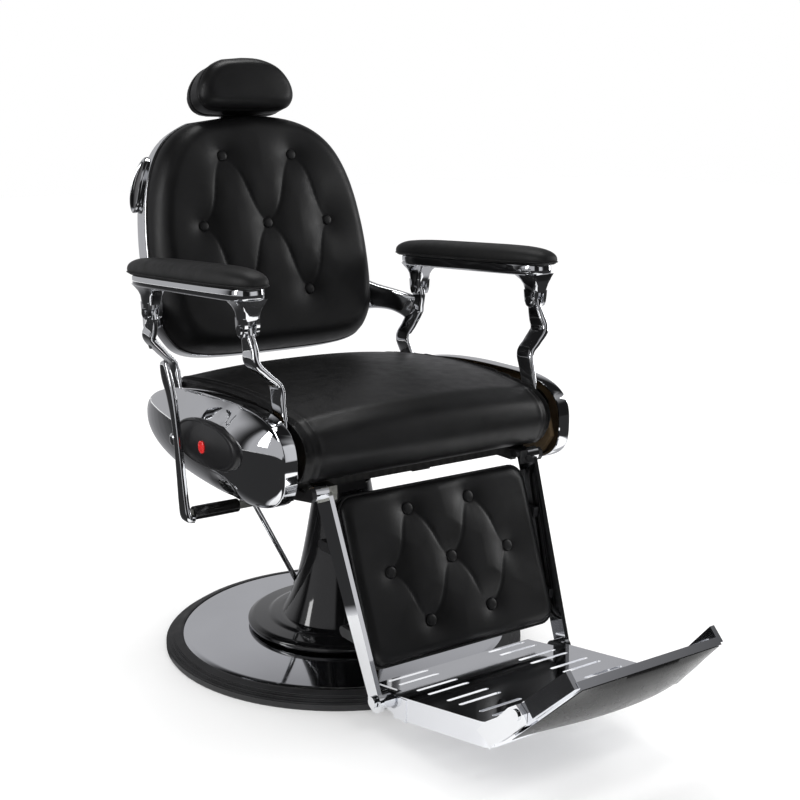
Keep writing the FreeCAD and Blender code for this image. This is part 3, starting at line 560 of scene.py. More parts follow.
def tufted_pad(pad, outline, voxel, crown, buttons, fold, dent, rounds):
    """Crowns a block built upright with its face near y = 0, then draws in its buttons and folds.
    Gives back the depth of the cover beside each button."""
    obj = remeshed(pad, voxel, rounds)
    co, no = positions(obj), normals(obj)
    facing = np.clip(-no[:, 1] * 1.15, 0, 1) ** 0.7
    swell = dome_over(outline, co[:, 0], co[:, 2], 2.2)
    drawn = tuft_depth(co[:, 0], co[:, 2], buttons, fold, dent)
    co[:, 1] += facing * (-crown * swell + drawn)
    seats = []
    for bx, bz in buttons:
        r = np.hypot(co[:, 0] - bx, co[:, 2] - bz)
        near = (np.abs(r - 0.0105) < 0.003) & (facing > 0.5)
        level = float(co[near, 1].mean())
        seats.append(level)
        under = (r < 0.0105) & (facing > 0.3)
        co[under, 1] = np.maximum(co[under, 1], level + 0.0015)
    put_positions(obj, co)
    return seats


def make_buttons(name, buttons, seats, place, body, node):
    caps = []
    for (x, z), y in zip(buttons, seats):
        caps.append(button(name, place @ Matrix.Translation((x, y, z))))
    return finish_piece(join(name, caps), LEATHER, "black_leather", body, node)


def make_back():
    """Tufted back cushion with its buttons and the welt beside the shell."""
    pad = pillow_block("back_pad", BACK_OUTLINE, 0.0795, 0.060, 0.004, 0.036)
    seats = tufted_pad(pad, BACK_OUTLINE, 0.0034, 0.014, BACK_BUTTONS, 0.0075, 0.015, 6)
    pad.data.transform(BACK_PLACE)
    finish_piece(pad, LEATHER, "black_leather", "backrest", "back_cushion")
    make_buttons("back_pad_buttons", BACK_BUTTONS, seats, BACK_PLACE, "backrest", "back_buttons")
    welt = [BACK_PLACE @ p for p in inset_ring(BACK_OUTLINE, 0.0012, 0.0548)]
    finish_piece(tube("back_welt", welt, 0.0026), LEATHER, "black_leather", "backrest")


def make_back_shell():
    """Pressed chrome shell behind the back, turned in towards its rear."""
    outer = [(0.0020, 0.0585), (0.0, 0.0570), (-0.0018, 0.0570), (-0.0028, 0.0585), (-0.0030, 0.0615),
             (-0.0030, 0.092),
             (-0.0014, 0.0990), (0.0026, 0.1060), (0.009, 0.1120), (0.016, 0.1160),
             (0.026, 0.1212), (0.045, 0.1235), (0.080, 0.1260), (0.130, 0.1275), (0.180, 0.1282)]
    rings = [inset_ring(BACK_OUTLINE, inset, y) for inset, y in outer]
    shell = skin("rear_shell", rings, sharp=45)
    shell.data.transform(BACK_PLACE)
    finish_piece(shell, CHROME, "chrome", "backrest", "back_shell")


def make_headrest():
    """Headrest pad: a bowed face, a boxed side between two seams."""
    block = pillow_block("head_pad", HEAD_OUTLINE, 0.079, 0.020, -0.004, 0.022)
    pad = remeshed(block, 0.0028, 8)
    co, no = positions(pad), normals(pad)
    facing = np.clip(-no[:, 1] * 1.1, 0, 1) ** 0.8
    co[:, 1] += facing * -0.009 * dome_over(HEAD_OUTLINE, co[:, 0], co[:, 2], 2.2)
    for level in (0.022, 0.060):
        side = np.clip(1 - np.abs(no[:, 1]) * 1.5, 0, 1)
        seam = side * 0.0022 * np.exp(-((co[:, 1] - level) / 0.0022) ** 2)
        co -= no * seam[:, None]
    put_positions(pad, co)
    pad.data.transform(BACK_PLACE)
    finish_piece(pad, LEATHER, "black_leather", "headrest", "headrest_cushion")
    for name, y in (("head_seam_front", 0.0185), ("head_seam_rear", 0.0635)):
        line = [BACK_PLACE @ p for p in inset_ring(HEAD_OUTLINE, 0.0010, y)]
        finish_piece(tube(name, line, 0.0015), LEATHER, "black_leather", "headrest")


def rounded_box_outline(half, low, high, radius, steps=6):
    """Rectangle in X and Z with round corners."""
    out = []
    for cx, cz, start in ((half - radius, high - radius, 0), (-half + radius, high - radius, 90),
                          (-half + radius, low + radius, 180), (half - radius, low + radius, 270)):
        for k in range(steps + 1):
            t = math.radians(start + 90 * k / steps)
            out.append((cx + radius * math.cos(t), cz + radius * math.sin(t)))
    return out


def make_legrest():
    """Tufted legrest cushion with its buttons and two side welts."""
    outline = rounded_box_outline(0.198, -0.150, 0.139, 0.028)
    pad = pillow_block("leg_pad", outline, 0.0535, 0.018, 0.003, 0.018)
    seats = tufted_pad(pad, outline, 0.003, 0.012, LEG_BUTTONS, 0.0070, 0.014, 5)
    pad.data.transform(LEG_PLACE)
    finish_piece(pad, LEATHER, "black_leather", "legrest", "legrest_cushion")
    make_buttons("leg_pad_buttons", LEG_BUTTONS, seats, LEG_PLACE, "legrest", "legrest_buttons")
    for name, y, inset in (("leg_welt_front", 0.016, -0.0002), ("leg_welt_rear", 0.030, -0.0008)):
        line = [LEG_PLACE @ p for p in inset_ring(outline, inset, y)]
        finish_piece(tube(name, line, 0.0026), LEATHER, "black_leather", "legrest")


def seat_profile():
    """Side view of the seat cushion as (y, z), from the rear bottom round the front to the rear top."""
    front = spline([(-0.270, 0.414), (-0.300, 0.428), (-0.317, 0.466), (-0.303, 0.503), (-0.262, 0.528)],
                   8)
    top = spline([(-0.262, 0.528), (-0.160, 0.541), (-0.050, 0.545), (0.080, 0.539), (0.196, 0.527)], 6)
    line = [(0.198, 0.4135)] + [tuple(p) for p in front] + [tuple(p) for p in top[1:]]
    return line


def make_seat():
    """Seat cushion: crowned across, rolled over the front, with a stitched seam down each side."""
    profile = seat_profile()
    rings = []
    for x in (-0.2615, 0.2615):
        rings.append([Vector((x, y, z)) for y, z in profile])
    pad = remeshed(skin("seat_pad", rings), 0.0042, 14)
    co, no = positions(pad), normals(pad)
    across = 1 - (np.abs(co[:, 0]) / 0.262) ** 2.4
    upper = np.clip(no[:, 2], 0, 1)
    forward = np.clip(-no[:, 1], 0, 1)
    co[:, 2] += upper * (-0.012 + 0.017 * across)
    co[:, 1] += forward * (0.010 - 0.014 * across) * (co[:, 2] > 0.42)
    offset = np.abs(co[:, 0])
    turn = np.clip((offset - 0.238) / 0.0225, 0, 1)
    eased = 0.020 * (1 - np.sqrt(1 - turn ** 2))
    co[:, 1] += forward * eased
    co[:, 2] -= upper * eased * 0.8
    face = np.clip(np.maximum(upper, forward) * 3, 0, 1)
    groove = np.exp(-((offset - 0.2405) / 0.0020) ** 2)
    puff = 0.55 * np.exp(-((offset - 0.2360) / 0.0030) ** 2) + 0.35 * np.exp(-((offset
                                                                                - 0.2455) / 0.0030) ** 2)
    co -= no * ((groove - puff) * face * 0.0030)[:, None]
    put_positions(pad, co)
    finish_piece(pad, LEATHER, "black_leather", "seat", "seat_cushion")
    for label, side in SIDES.items():
        for offset in (0.2365, 0.2448):
            line = surface_line(co, no, side * offset)
            row = "inner" if offset < 0.24 else "outer"
            stitch_row("seat_stitches_%s_%s" % (row, label), line, 0.0045, 0.0065, 0.0004, "seat")


def surface_line(co, no, x):
    """Line over the front and top of the seat at one x, as (point, normal) pairs."""
    near = np.abs(co[:, 0] - x) < 0.0026
    pts, nos = co[near], no[near]
    keep = (nos[:, 2] > -0.2) & (pts[:, 2] > 0.425) & (nos[:, 1] < 0.4)
    pts, nos = pts[keep], nos[keep]
    angle = np.arctan2(pts[:, 2] - 0.44, -(pts[:, 1] + 0.24))
    edges = np.linspace(angle.min(), angle.max(), 90)
    line = []
    for low, high in zip(edges, edges[1:]):
        inside = (angle >= low) & (angle < high)
        if inside.sum() < 2:
            continue
        point = pts[inside].mean(axis=0)
        line.append((Vector((x, point[1], point[2])), Vector(nos[inside].mean(axis=0)).normalized()))
    return line


def stitch_row(name, points, length, gap, lift, body):
    """Row of short raised thread stitches along a line of (point, normal) pairs."""
    verts, faces = [], []
    travelled = 0.0
    spot = 0.0
    for (a, na), (b, nb) in zip(points, points[1:]):
        along = b - a
        span = along.length
        while spot < travelled + span:
            t = (spot - travelled) / span
            centre = a.lerp(b, t) + na.lerp(nb, t).normalized() * lift
            d = along.normalized()
            n = na.lerp(nb, t).normalized()
            w = d.cross(n)
            base = len(verts)
            for u, r in ((-0.5, 0.0002), (-0.4, 0.0005), (0.0, 0.0006), (0.4, 0.0005), (0.5, 0.0002)):
                for k in range(6):
                    ang = math.pi * k / 3
                    verts.append(centre + d * (u * length) + (w * math.cos(ang) + n * math.sin(ang)) * r)
            for i in range(4):
                for k in range(6):
                    m = (k + 1) % 6
                    faces.append((base + i * 6 + k, base + i * 6 + m, base + i * 6 + 6 + m,
                                  base + i * 6 + 6 + k))
            spot += gap
        travelled += span
    obj = mesh_object(name, verts, faces)
    return finish_piece(obj, THREAD, "black_leather", body)


def arm_ring(side, z, inset, sag=0.0):
    """Boat-shaped outline of an arm pad at one height; sag lets its ends droop."""
    ring = []
    for i in range(72):
        angle = 2 * math.pi * i / 72
        c, s = math.cos(angle), math.sin(angle)
        y = ARM_PAD_MIDDLE + (ARM_PAD_HALF_LENGTH - inset) * math.copysign(abs(c) ** 0.58, c)
        x = side * ARM_X + (ARM_PAD_HALF_WIDTH - inset * 0.9) * math.copysign(abs(s) ** 0.62, s)
        droop = sag * (abs(y - ARM_PAD_MIDDLE) / ARM_PAD_HALF_LENGTH) ** 5
        ring.append(Vector((x, y, z - droop)))
    return ring


def make_arm_pad(name, side):
    """Boat-shaped pad: full in the middle, thinning to rounded ends."""
    levels = [(0.0006, 0.0060, 0), (0.0025, 0.0025, 0), (0.006, 0.0006, 0.0004), (0.011, 0.0, 0.002),
              (0.017, 0.0006, 0.004), (0.0225, 0.0030, 0.006), (0.0268, 0.0072, 0.0075),
              (0.0298, 0.0125, 0.0085),
              (0.0318, 0.0185, 0.009), (0.0330, 0.0250, 0.009), (0.0336, 0.0315, 0.009),
              (0.0338, 0.0370, 0.009)]
    rings = [arm_ring(side, ARM_PAD_BASE + h, inset, sag) for h, inset, sag in levels]
    pad = skin("arm_pad_cover_" + name, rings)
    pad.data.transform(ARM_TURN)
    finish_piece(pad, PAD_LEATHER, "black_leather", "armrest_" + name, "arm_pad_" + name)
    seam = [ARM_TURN @ v for v in arm_ring(side, ARM_PAD_BASE + 0.0055, -0.0002, 0.0003)]
    finish_piece(tube("arm_pad_seam_" + name, seam, 0.0011), PAD_LEATHER, "black_leather",
                 "armrest_" + name)


def make_flap_pad():
    """Crowned pad on the outside of the foot flap, thinning to its ends."""
    rear, length, half, taper = 0.0480, 0.1555, 0.1708, 0.033
    face, back = -0.0218, -0.0212
    rings = []
    count = 24
    for i in range(61):
        u = -1 + 2 * i / 60
        crown = 0.0215 * (1 - abs(u) ** 2.3)
        outer, inner = [], []
        for k in range(count + 1):
            v = k / count
            x, y = u * (half - taper * v), rear - length * v
            depth = crown * max(math.sin(math.pi * v), 0.0) ** 0.62
            outer.append(Vector((x, y, face - depth)))
            inner.append(Vector((x, y, back)))
        rings.append(outer + inner[::-1])
    pad = skin("flap_pad_cover", rings, sharp=50)
    pad.data.transform(FLAP_PLACE)
    finish_piece(pad, FLAP_LEATHER, "black_leather", "flap", "flap_pad")


# ------------------------------------------------------------------ base
def make_base():
    """Pressed base cover and the stepped dish of the pump flange."""
    rim = 0.318
    top = [(r, 0.026 + 0.012 * (1 - (r / rim) ** 2)) for r in [rim - 0.006 * i for i in range(24)]]
    profile = [(rim - 0.001, 0.012)] + [(rim, 0.014), (rim, 0.0235)] + top[1:]
    profile += [(0.178, top[-1][1] - 0.001), (0.178, 0.031), (0.300, 0.022), (rim - 0.003, 0.012)]
    cover = lathe("base_cover_plate", profile, count=160, sharp=50)
    finish_piece(cover, FLAT_CHROME, "chrome", "base", "base_cover")
    dish = rounded_profile([(0.062, 0.0215), (0.1765, 0.0215), (0.1765, 0.0365), (0.190, 0.039),
                            (0.190, 0.0465),
                            (0.180, 0.0515), (0.150, 0.0535), (0.143, 0.0565), (0.128, 0.0580),
                            (0.062, 0.0580)], 0.003)
    finish_piece(lathe("flange_dish", dish, count=128), ENAMEL, "gloss_black", "base", "pump_flange")


# ------------------------------------------------------------------ side panels
PANEL_MIDDLE = -0.122          # widest point of the egg, along Y
PANEL_HEIGHT = 0.451           # middle of the panel, above the floor
PANEL_HALF_HEIGHT = 0.084
PANEL_FRONT_REACH = 0.188
PANEL_REAR_REACH = 0.346
PANEL_FRONT_POWER = 3.0        # blunt in front
PANEL_REAR_POWER = 2.3         # slim behind
PANEL_EDGE = 0.3066            # where the domed face starts, across the chair
PANEL_EDGE_SHARE = 0.976
PANEL_DOME = 0.0380
POST_PLACE = (0.040, 0.440)    # rear post of a side shell (y, z)


def egg_ring(side, x, grow, inset, count=96):
    """Egg-shaped outline of a side shell at one x, scaled by grow and drawn in by inset."""
    ring = []
    for i in range(count):
        angle = 2 * math.pi * i / count
        f, u = math.cos(angle), math.sin(angle)
        power = PANEL_FRONT_POWER if f > 0 else PANEL_REAR_POWER
        reach = (PANEL_FRONT_REACH if f > 0 else PANEL_REAR_REACH) - inset
        rise = (PANEL_HALF_HEIGHT - inset) * grow
        y = PANEL_MIDDLE - math.copysign(abs(f) ** (2 / power), f) * reach * grow
        z = PANEL_HEIGHT + math.copysign(abs(u) ** (2 / power), u) * rise
        ring.append(Vector((side * x, y, z)))
    return ring


def make_panel(name, side):
    """Pressed chrome shell: rolled lip, flat rim band, crisp edge and a shallow domed face."""
    outer = [(0.2810, 0.975, 0), (0.2795, 0.985, 0), (0.2795, 0.994, 0), (0.281, 1.0, 0),
             (0.3020, 1.0, 0),
             (0.3040, 0.998, 0), (0.3048, 0.992, 0), (0.3052, 0.984, 0), (0.3066, 0.976, 0)]
    domes = []
    for k in range(1, 23):
        share = 1 - (k / 22.3) ** 1.15
        domes.append((PANEL_EDGE + PANEL_DOME * (1 - share ** 2.1) ** 0.86, PANEL_EDGE_SHARE * share, 0))
    outer += domes
    inner = [(x - 0.0022, g, 0.001) for x, g, i in reversed(domes)] + [(0.3025, 0.976, 0.0015),
                                                                       (0.2825, 0.976, 0.002)]
    rings = [egg_ring(side, x, g, i) for x, g, i in outer]
    back = [egg_ring(side, x, g, i) for x, g, i in inner]
    for ring in rings + back:
        for v in ring:
            crimp(v, side)
    panel = skin("side_shell_" + name, rings + back, sharp=30, closed=True)
    finish_piece(panel, CHROME, "chrome", "seat", "side_panel_" + name)
    panel.data.materials.append(BRONZE)
    first_inner = len(rings) * len(rings[0])
    for poly in panel.data.polygons:
        if min(poly.vertices) >= first_inner:
            poly.material_index = 1


def crimp(v, side):
    """Pinches the shell above and below the middle of its pad, with a double bead in the pinch."""
    off = v.y + 0.136 - 0.10 * (v.z - PANEL_HEIGHT)
    high = abs(v.z - PANEL_HEIGHT) / PANEL_HALF_HEIGHT
    edge = max(0.0, min(1.0, (high - 0.42) / 0.20)) * max(0.0, min(1.0, (abs(v.x) - 0.300) / 0.008))
    valley = math.exp(-(off / 0.024) ** 2)
    beads = math.exp(-((abs(off) - 0.0075) / 0.0042) ** 2)
    v.x += side * edge * (-0.0110 * valley + 0.0085 * beads)


def dome_reach(y, z):
    """How far out the side shell reaches at a place on its face."""
    ahead = PANEL_MIDDLE - y
    power = PANEL_FRONT_POWER if ahead > 0 else PANEL_REAR_POWER
    reach = PANEL_FRONT_REACH if ahead > 0 else PANEL_REAR_REACH
    high = abs(z - PANEL_HEIGHT) / PANEL_HALF_HEIGHT
    grow = ((abs(ahead) / reach) ** power + high ** power) ** (1 / power)
    return PANEL_EDGE + PANEL_DOME * max(1 - (grow / PANEL_EDGE_SHARE) ** 2.1, 0.0) ** 0.86


def make_side_pad(name, side):
    """Oval moulded pad with a raised border, bent to the dome of the shell."""
    rings = []
    for lift, grow in ((-0.006, 1.0), (0.0025, 1.0), (0.0055, 0.985), (0.0075, 0.955), (0.0080, 0.925),
                       (0.0070, 0.90),
                       (0.0074, 0.86), (0.0084, 0.72), (0.0092, 0.5), (0.0096, 0.25), (0.0096, 0.05)):
        ring = oval((0, -0.107, 0.462), (0, 0.112 * grow, 0), (0, 0, 0.039 * grow), 2.45, 72)
        rings.append([Vector((side * (0.2 * 0.3446 + 0.8 * dome_reach(v.y, v.z) + lift), v.y,
                              v.z)) for v in ring])
    pad = skin("side_pad_cover_" + name, rings, sharp=60)
    finish_piece(pad, MOULDED, "pad_black", "seat", "side_pad_" + name)


def make_badges():
    """Plain round caps in the middle of the side pads."""
    caps = []
    for side in SIDES.values():
        out = Matrix.Rotation(math.radians(90 * side), 4, "Y")
        place = Matrix.Translation((side * 0.3542, -0.113, 0.460)) @ out
        disc = [(1e-5, -0.002), (0.011, -0.002), (0.011, 0.0012), (0.0102, 0.002), (0.0088, 0.0022),
                (0.0082, 0.0012),
                (0.0060, 0.0010), (0.0050, 0.0022), (1e-5, 0.0026)]
        caps.append(lathe("badge", disc, place, count=40))
    finish_piece(join("round_badges", caps), RED, "badge_red", "seat", "side_badges")


# ------------------------------------------------------------------ arms
def make_support(label, name, side, bolt, bends, pivot, body):
    """S-curved polished bar from an arm casting down to its pivot in the side of the seat."""
    bend_top, bend_low = bends
    x1, x0 = side * ARM_X, side * SUPPORT_X
    stations = [
        (x1, bolt[0], bolt[1] + 0.004, 0.0105, 0.0060),
        (x1, bolt[0], bolt[1] - 0.012, 0.0150, 0.0066),
        (x1, bolt[0] + (bend_top[0] - bolt[0]) * 0.5, bolt[1] - 0.032, 0.0190, 0.0068),
        (x1, bend_top[0], bend_top[1], 0.0215, 0.0068),
        ((x1 + x0) / 2, (bend_top[0] + bend_low[0]) / 2, (bend_top[1] + bend_low[1]) / 2, 0.0212, 0.0058),
        (x0, bend_low[0], bend_low[1], 0.0210, 0.0048),
        (x0, (bend_low[0] * 2 + pivot[0]) / 3, (bend_low[1] * 2 + pivot[1]) / 3, 0.0192, 0.0046),
        (x0, pivot[0], pivot[1], 0.0170, 0.0046),
    ]
    obj = bar(label + "_bar_" + name, stations, (0, 1, 0), power=5.0, steps=8)
    return finish_piece(obj, CHROME, "chrome", body, label + "_" + name)


def make_arm_plate(name, side):
    """Polished arm plate with two clevises that flare out of it."""
    x = side * ARM_X
    rings = []
    for z, inset in ((0.7065, 0.004), (0.7085, 0.001), (0.711, 0.0), (0.7235, 0.0), (0.7255, 0.001)):
        ring = []
        for i in range(64):
            angle = 2 * math.pi * i / 64
            c, s = math.cos(angle), math.sin(angle)
            y = -0.006 + (0.2215 - inset) * math.copysign(abs(c) ** 0.34, c)
            ring.append(Vector((x + (0.034 - inset) * math.copysign(abs(s) ** 0.5, s), y, z)))
        rings.append(ring)
    plate = skin("plate", rings, sharp=35)
    plate.data.transform(ARM_TURN)
    parts = [plate]
    for bolt, flare in ((FRONT_BOLT, 0.030), (REAR_BOLT, 0.022)):
        y, z = bolt
        under = 0.7103 - (y + 0.003) * math.sin(ARM_PITCH)
        levels = [(under + 0.002, 0.022 + flare, 0.027), (under - 0.004, 0.021 + flare * 0.72, 0.0225),
                  (under - 0.011, 0.020 + flare * 0.34, 0.0185),
                  (under - 0.019, 0.0195 + flare * 0.1, 0.0160),
                  (z + 0.020, 0.0185, 0.0152), (z + 0.016, 0.0180, 0.0150)]
        rings = [oval((x, y, h), (0, b, 0), (a, 0, 0), 4.5, 40) for h, b, a in levels]
        rings = [[Vector((v.x, min(max(v.y, -0.222), 0.208), v.z)) for v in ring] for ring in rings]
        parts.append(skin("crown", rings, sharp=45))
        for ear in (-1, 1):
            ex = x + ear * 0.0110
            outline = [(-0.0175, 0.020), (-0.0165, 0.008), (-0.0145, -0.002), (-0.0105, -0.0095),
                       (0, -0.0135),
                       (0.0105, -0.0095), (0.0145, -0.002), (0.0165, 0.008), (0.0175, 0.020)]
            rings = []
            for dx, grow in ((-0.0038, 0.93), (-0.0030, 1.0), (0.0030, 1.0), (0.0038, 0.93)):
                rings.append([Vector((ex + dx, y + a * grow, z + b * (grow if b < 0 else 1))) for a,
                              b in outline])
            parts.append(skin("ear", rings, sharp=50))
    whole = join("arm_casting_" + name, parts)
    finish_piece(whole, CHROME, "chrome", "armrest_" + name, "arm_plate_" + name)


def make_back_bracket(name, side):
    """Cast arm from the rear support to the side of the back."""
    s = side
    stations = [
        (s * 0.236, 0.326, 0.628, 0.036, 0.015), (s * 0.252, 0.308, 0.628, 0.033, 0.014),
        (s * 0.268, 0.280, 0.626, 0.026, 0.012), (s * 0.284, 0.243, 0.622, 0.023, 0.0105),
        (s * 0.296, 0.212, 0.614, 0.025, 0.009), (s * 0.303, 0.192, 0.606, 0.030, 0.006),
    ]
    obj = bar("back_arm_" + name, stations, (0, 0, 1), power=4.0, steps=8)
    finish_piece(obj, CHROME, "chrome", "backrest", "back_bracket_" + name)


# ------------------------------------------------------------------ levers
def make_levers():
    """Reclining lever: a flat polished paddle arm and a black sleeve grip."""
    x = LEVER_X
    stations = [(x + 0.012, -0.056, 0.318, 0.0150, 0.0065), (x + 0.002, -0.056, 0.322, 0.0150, 0.0068),
                (x, -0.052, 0.345, 0.0135, 0.0066), (x, -0.044, 0.400, 0.0115, 0.0060),
                (x, -0.032, 0.480, 0.0100, 0.0056),
                (x, -0.016, 0.535, 0.0145, 0.0056), (x, 0.000, 0.565, 0.0175, 0.0052),
                (x, 0.009, 0.583, 0.0145, 0.0045),
                (x, 0.012, 0.590, 0.0090, 0.0035)]
    lever = bar("recline_handle", stations, (0, 1, 0), power=3.2, steps=8)
    finish_piece(lever, CHROME, "chrome", "recline_lever", "lever_arm")
    out = Matrix.Translation((-0.345, -0.050, 0.325)) @ Matrix.Rotation(math.radians(90), 4, "Y")
    grip = [(1e-5, 0.0)] + rounded_profile([(0.002, 0.0), (0.0122, 0.0), (0.0125, 0.030), (0.0122, 0.088),
                                            (0.010, 0.090),
                                            (0.002, 0.090)], 0.002) + [(1e-5, 0.090)]
    finish_piece(lathe("recline_sleeve", grip, out, count=40), SLEEVE, "sleeve_black", "recline_lever",
                 "lever_sleeve")


def hexagon(name, place, radius, height):
    """Hexagon head with a chamfer and a washer."""
    rings = []
    for z, r in ((0.0, radius), (height * 0.8, radius), (height, radius * 0.86)):
        rings.append([Vector((r * math.cos(math.pi * k / 3), r * math.sin(math.pi * k / 3),
                              z)) for k in range(6)])
    head = skin(name, rings, sharp=20)
    head.data.transform(place)
    washer = [(1e-5, -0.0016), (radius * 1.35, -0.0016), (radius * 1.35, -0.0004), (radius * 1.25, 0.0),
              (1e-5, 0.0)]
    ring = lathe(name, washer, place, count=32)
    return [head, ring]


def make_seat_bracket():
    """Small brackets under the front of the seat: zinc plated with a bolt on one side, black on the other."""
    for label, side, mat, slot in (("right", -1, ZINC, "machined_steel"),
                                   ("left", 1, SATIN_BLACK, "frame_black")):
        front = [Vector((side * x, -0.2970, z)) for x, z in
                 ((0.198, 0.386), (0.236, 0.386), (0.236, 0.404), (0.229, 0.4075), (0.198, 0.4075))]
        rear = [v + Vector((0, 0.003, 0)) for v in front]
        shelf_front = [Vector((side * x, -0.2970, z)) for x, z in ((0.198, 0.4075), (0.229, 0.4075),
                                                                   (0.229, 0.4105), (0.198, 0.4105))]
        shelf_rear = [v + Vector((0, 0.060, 0)) for v in shelf_front]
        turn = Matrix.Rotation(math.radians(90), 4, "X")
        bolt = hexagon("bolt", Matrix.Translation((side * 0.214, -0.2980, 0.396)) @ turn, 0.0062, 0.0050)
        parts = [skin("bracket", [front, rear], sharp=30), skin("shelf", [shelf_front, shelf_rear],
                                                                sharp=30)]
        finish_piece(join("hinge_bracket_" + label, parts + bolt), mat, slot, "seat")


HANDLE_MIDDLE = (0.0960, 0.106)


def back_half_width(z):
    """Half width of the back at a height, in the frame of the back."""
    side = sorted((v[1], v[0]) for v in BACK_OUTLINE if v[0] > 0.12)
    return float(np.interp(z, [a for a, b in side], [b for a, b in side]))


def make_handle_cups():
    """Oval chrome cups on the sides of the shell at the ends of the grab bar, hollow on their outer face."""
    parts = []
    for side in SIDES.values():
        rings = []
        for out, grow in ((-0.010, 0.90), (-0.002, 0.96), (0.0070, 1.0), (0.0112, 0.985), (0.0125, 0.95),
                          (0.0120, 0.90),
                          (0.0095, 0.84), (0.0070, 0.74), (0.0058, 0.5), (0.0054, 0.1)):
            ring = oval((0, HANDLE_MIDDLE[0], HANDLE_MIDDLE[1]), (0, 0.025 * grow, 0),
                        (0, 0, 0.056 * grow), 2.0, 56)
            rings.append([Vector((side * (back_half_width(v.z) + out), v.y, v.z)) for v in ring])
        parts.append(skin("cup", rings, sharp=50))
    cups = join("handle_cups", parts)
    finish_piece(cups, CHROME, "chrome", "backrest", "handle_ends")
    cups.data.materials.append(ENAMEL)
    for poly in cups.data.polygons:
        middle = poly.center
        reach = abs(middle.x) - back_half_width(middle.z)
        oval_share = math.hypot((middle.y - HANDLE_MIDDLE[0]) / 0.025,
                                (middle.z - HANDLE_MIDDLE[1]) / 0.056)
        if oval_share < 0.86 and reach > 0.004:
            poly.material_index = 1
    cups.data.transform(BACK_PLACE)


def make_grab_bar():
    """Round bar across the rear of the shell, bent forward at each end into its cup."""
    y, z = HANDLE_MIDDLE
    wide = back_half_width(z)
    bend = [(wide - 0.005, 0.008), (wide - 0.006, 0.026), (wide - 0.019, 0.043), (wide - 0.055, 0.049)]
    path = [(-x, y + back, z) for x, back in bend] + [(0, y + 0.050, z)]
    path += [(x, y + back, z) for x, back in reversed(bend)]
    points = [BACK_PLACE @ Vector(p) for p in spline(path, 8)]
    bar = tube("rear_grab_bar", points, 0.0085, closed=False, count=24)
    finish_piece(bar, CHROME, "chrome", "backrest", "handle_bar")


def make_post_caps():
    """Low polished caps over the ends of the rear posts that hold the side shells."""
    caps = []
    y, z = POST_PLACE
    for side in SIDES.values():
        out = Matrix.Rotation(math.radians(90 * side), 4, "Y")
        place = Matrix.Translation((side * dome_reach(y, z), y, z)) @ out
        cap = [(1e-5, -0.004), (0.0115, -0.004), (0.0115, 0.0002), (0.0100, 0.0020), (0.0060, 0.0032),
               (1e-5, 0.0036)]
        caps.append(lathe("cap", cap, place, count=40))
    finish_piece(join("post_caps", caps), CHROME, "chrome", "seat")


def make_foot_strips():
    """Bright corner strips on the front of the footplate, each with two raised beads."""
    parts = []
    place = leaned(Vector((0, -0.440, 0.088)), math.radians(9.87))
    for side in SIDES.values():
        for shift, wide in ((0.0, 0.0045), (0.0115, 0.0030)):
            x = side * (0.1765 - 0.0008 - shift)
            rings = []
            for z, grow in ((-0.0395, 0.5), (-0.0385, 1.0), (-0.002, 1.0), (-0.0008, 0.5)):
                rings.append([Vector((x + a * wide * 0.5 * grow, -0.2405 + b, z)) for a, b in
                              ((-1, 0.001), (-1, -0.0008), (-0.5, -0.0018), (0.5, -0.0018), (1, -0.0008),
                               (1, 0.001))])
            parts.append(skin("bead", rings, sharp=50))
    strips = join("corner_strips", parts)
    strips.data.transform(place)
    finish_piece(strips, CHROME, "chrome", "footrest")


# ------------------------------------------------------------------ studio
def area_light(name, place, aim, wide, tall, power, mirrored_in_chrome=True):
    data = bpy.data.lights.new(name, "AREA")
    data.shape = "RECTANGLE"
    data.size = wide
    data.size_y = tall
    data.energy = power
    obj = bpy.data.objects.new(name, data)
    obj.location = place
    obj.rotation_euler = (Vector(aim) - Vector(place)).to_track_quat("-Z", "Y").to_euler()
    obj.visible_glossy = mirrored_in_chrome
    bpy.context.scene.collection.objects.link(obj)


def make_floor():
    """Pale paper floor."""
    size = 14.0
    verts = [(-size, -size, 0), (size, -size, 0), (size, size, 0), (-size, size, 0)]
    floor = mesh_object("studio_floor", verts, [(0, 1, 2, 3)])
    mat, tree, shader = material("floor_paper", (0.90, 0.90, 0.90), 0.8, Specular_IOR_Level=0.1)
    shader.inputs["Emission Color"].default_value = (1, 1, 1, 1)
    shader.inputs["Emission Strength"].default_value = 0.12
    paper = noise(tree, 3.0)
    ranged(tree, paper.outputs[0], 0.75, 0.85, shader.inputs["Roughness"])
    dress(floor, mat)


def smooth_step(a, b, x):
    t = min(max((x - a) / (b - a), 0.0), 1.0)
    return t * t * (3 - 2 * t)


def room_tone(azimuth, height):
    """Brightness of the studio room in a direction, in degrees; 0 is the backdrop, behind the chair."""
    def card(centre, half, low, high, soft=6.0):
        away = abs((azimuth - centre + 180) % 360 - 180)
        return ((1 - smooth_step(half - soft, half + soft, away)) * smooth_step(low - soft, low + soft,
                                                                                height)
                * (1 - smooth_step(high - soft, high + soft, height)))
    tone = 0.012
    tone += 0.42 * card(0, 78, -20, 36, 10)
    tone += 0.44 * card(128, 36, -6, 38, 3)
    tone += 0.30 * card(-90, 25, 38, 60, 10)
    tone += 0.60 * card(-122, 10, 0, 46, 3)
    tone += 0.35 * card(180, 40, 50, 68, 4)
    return tone


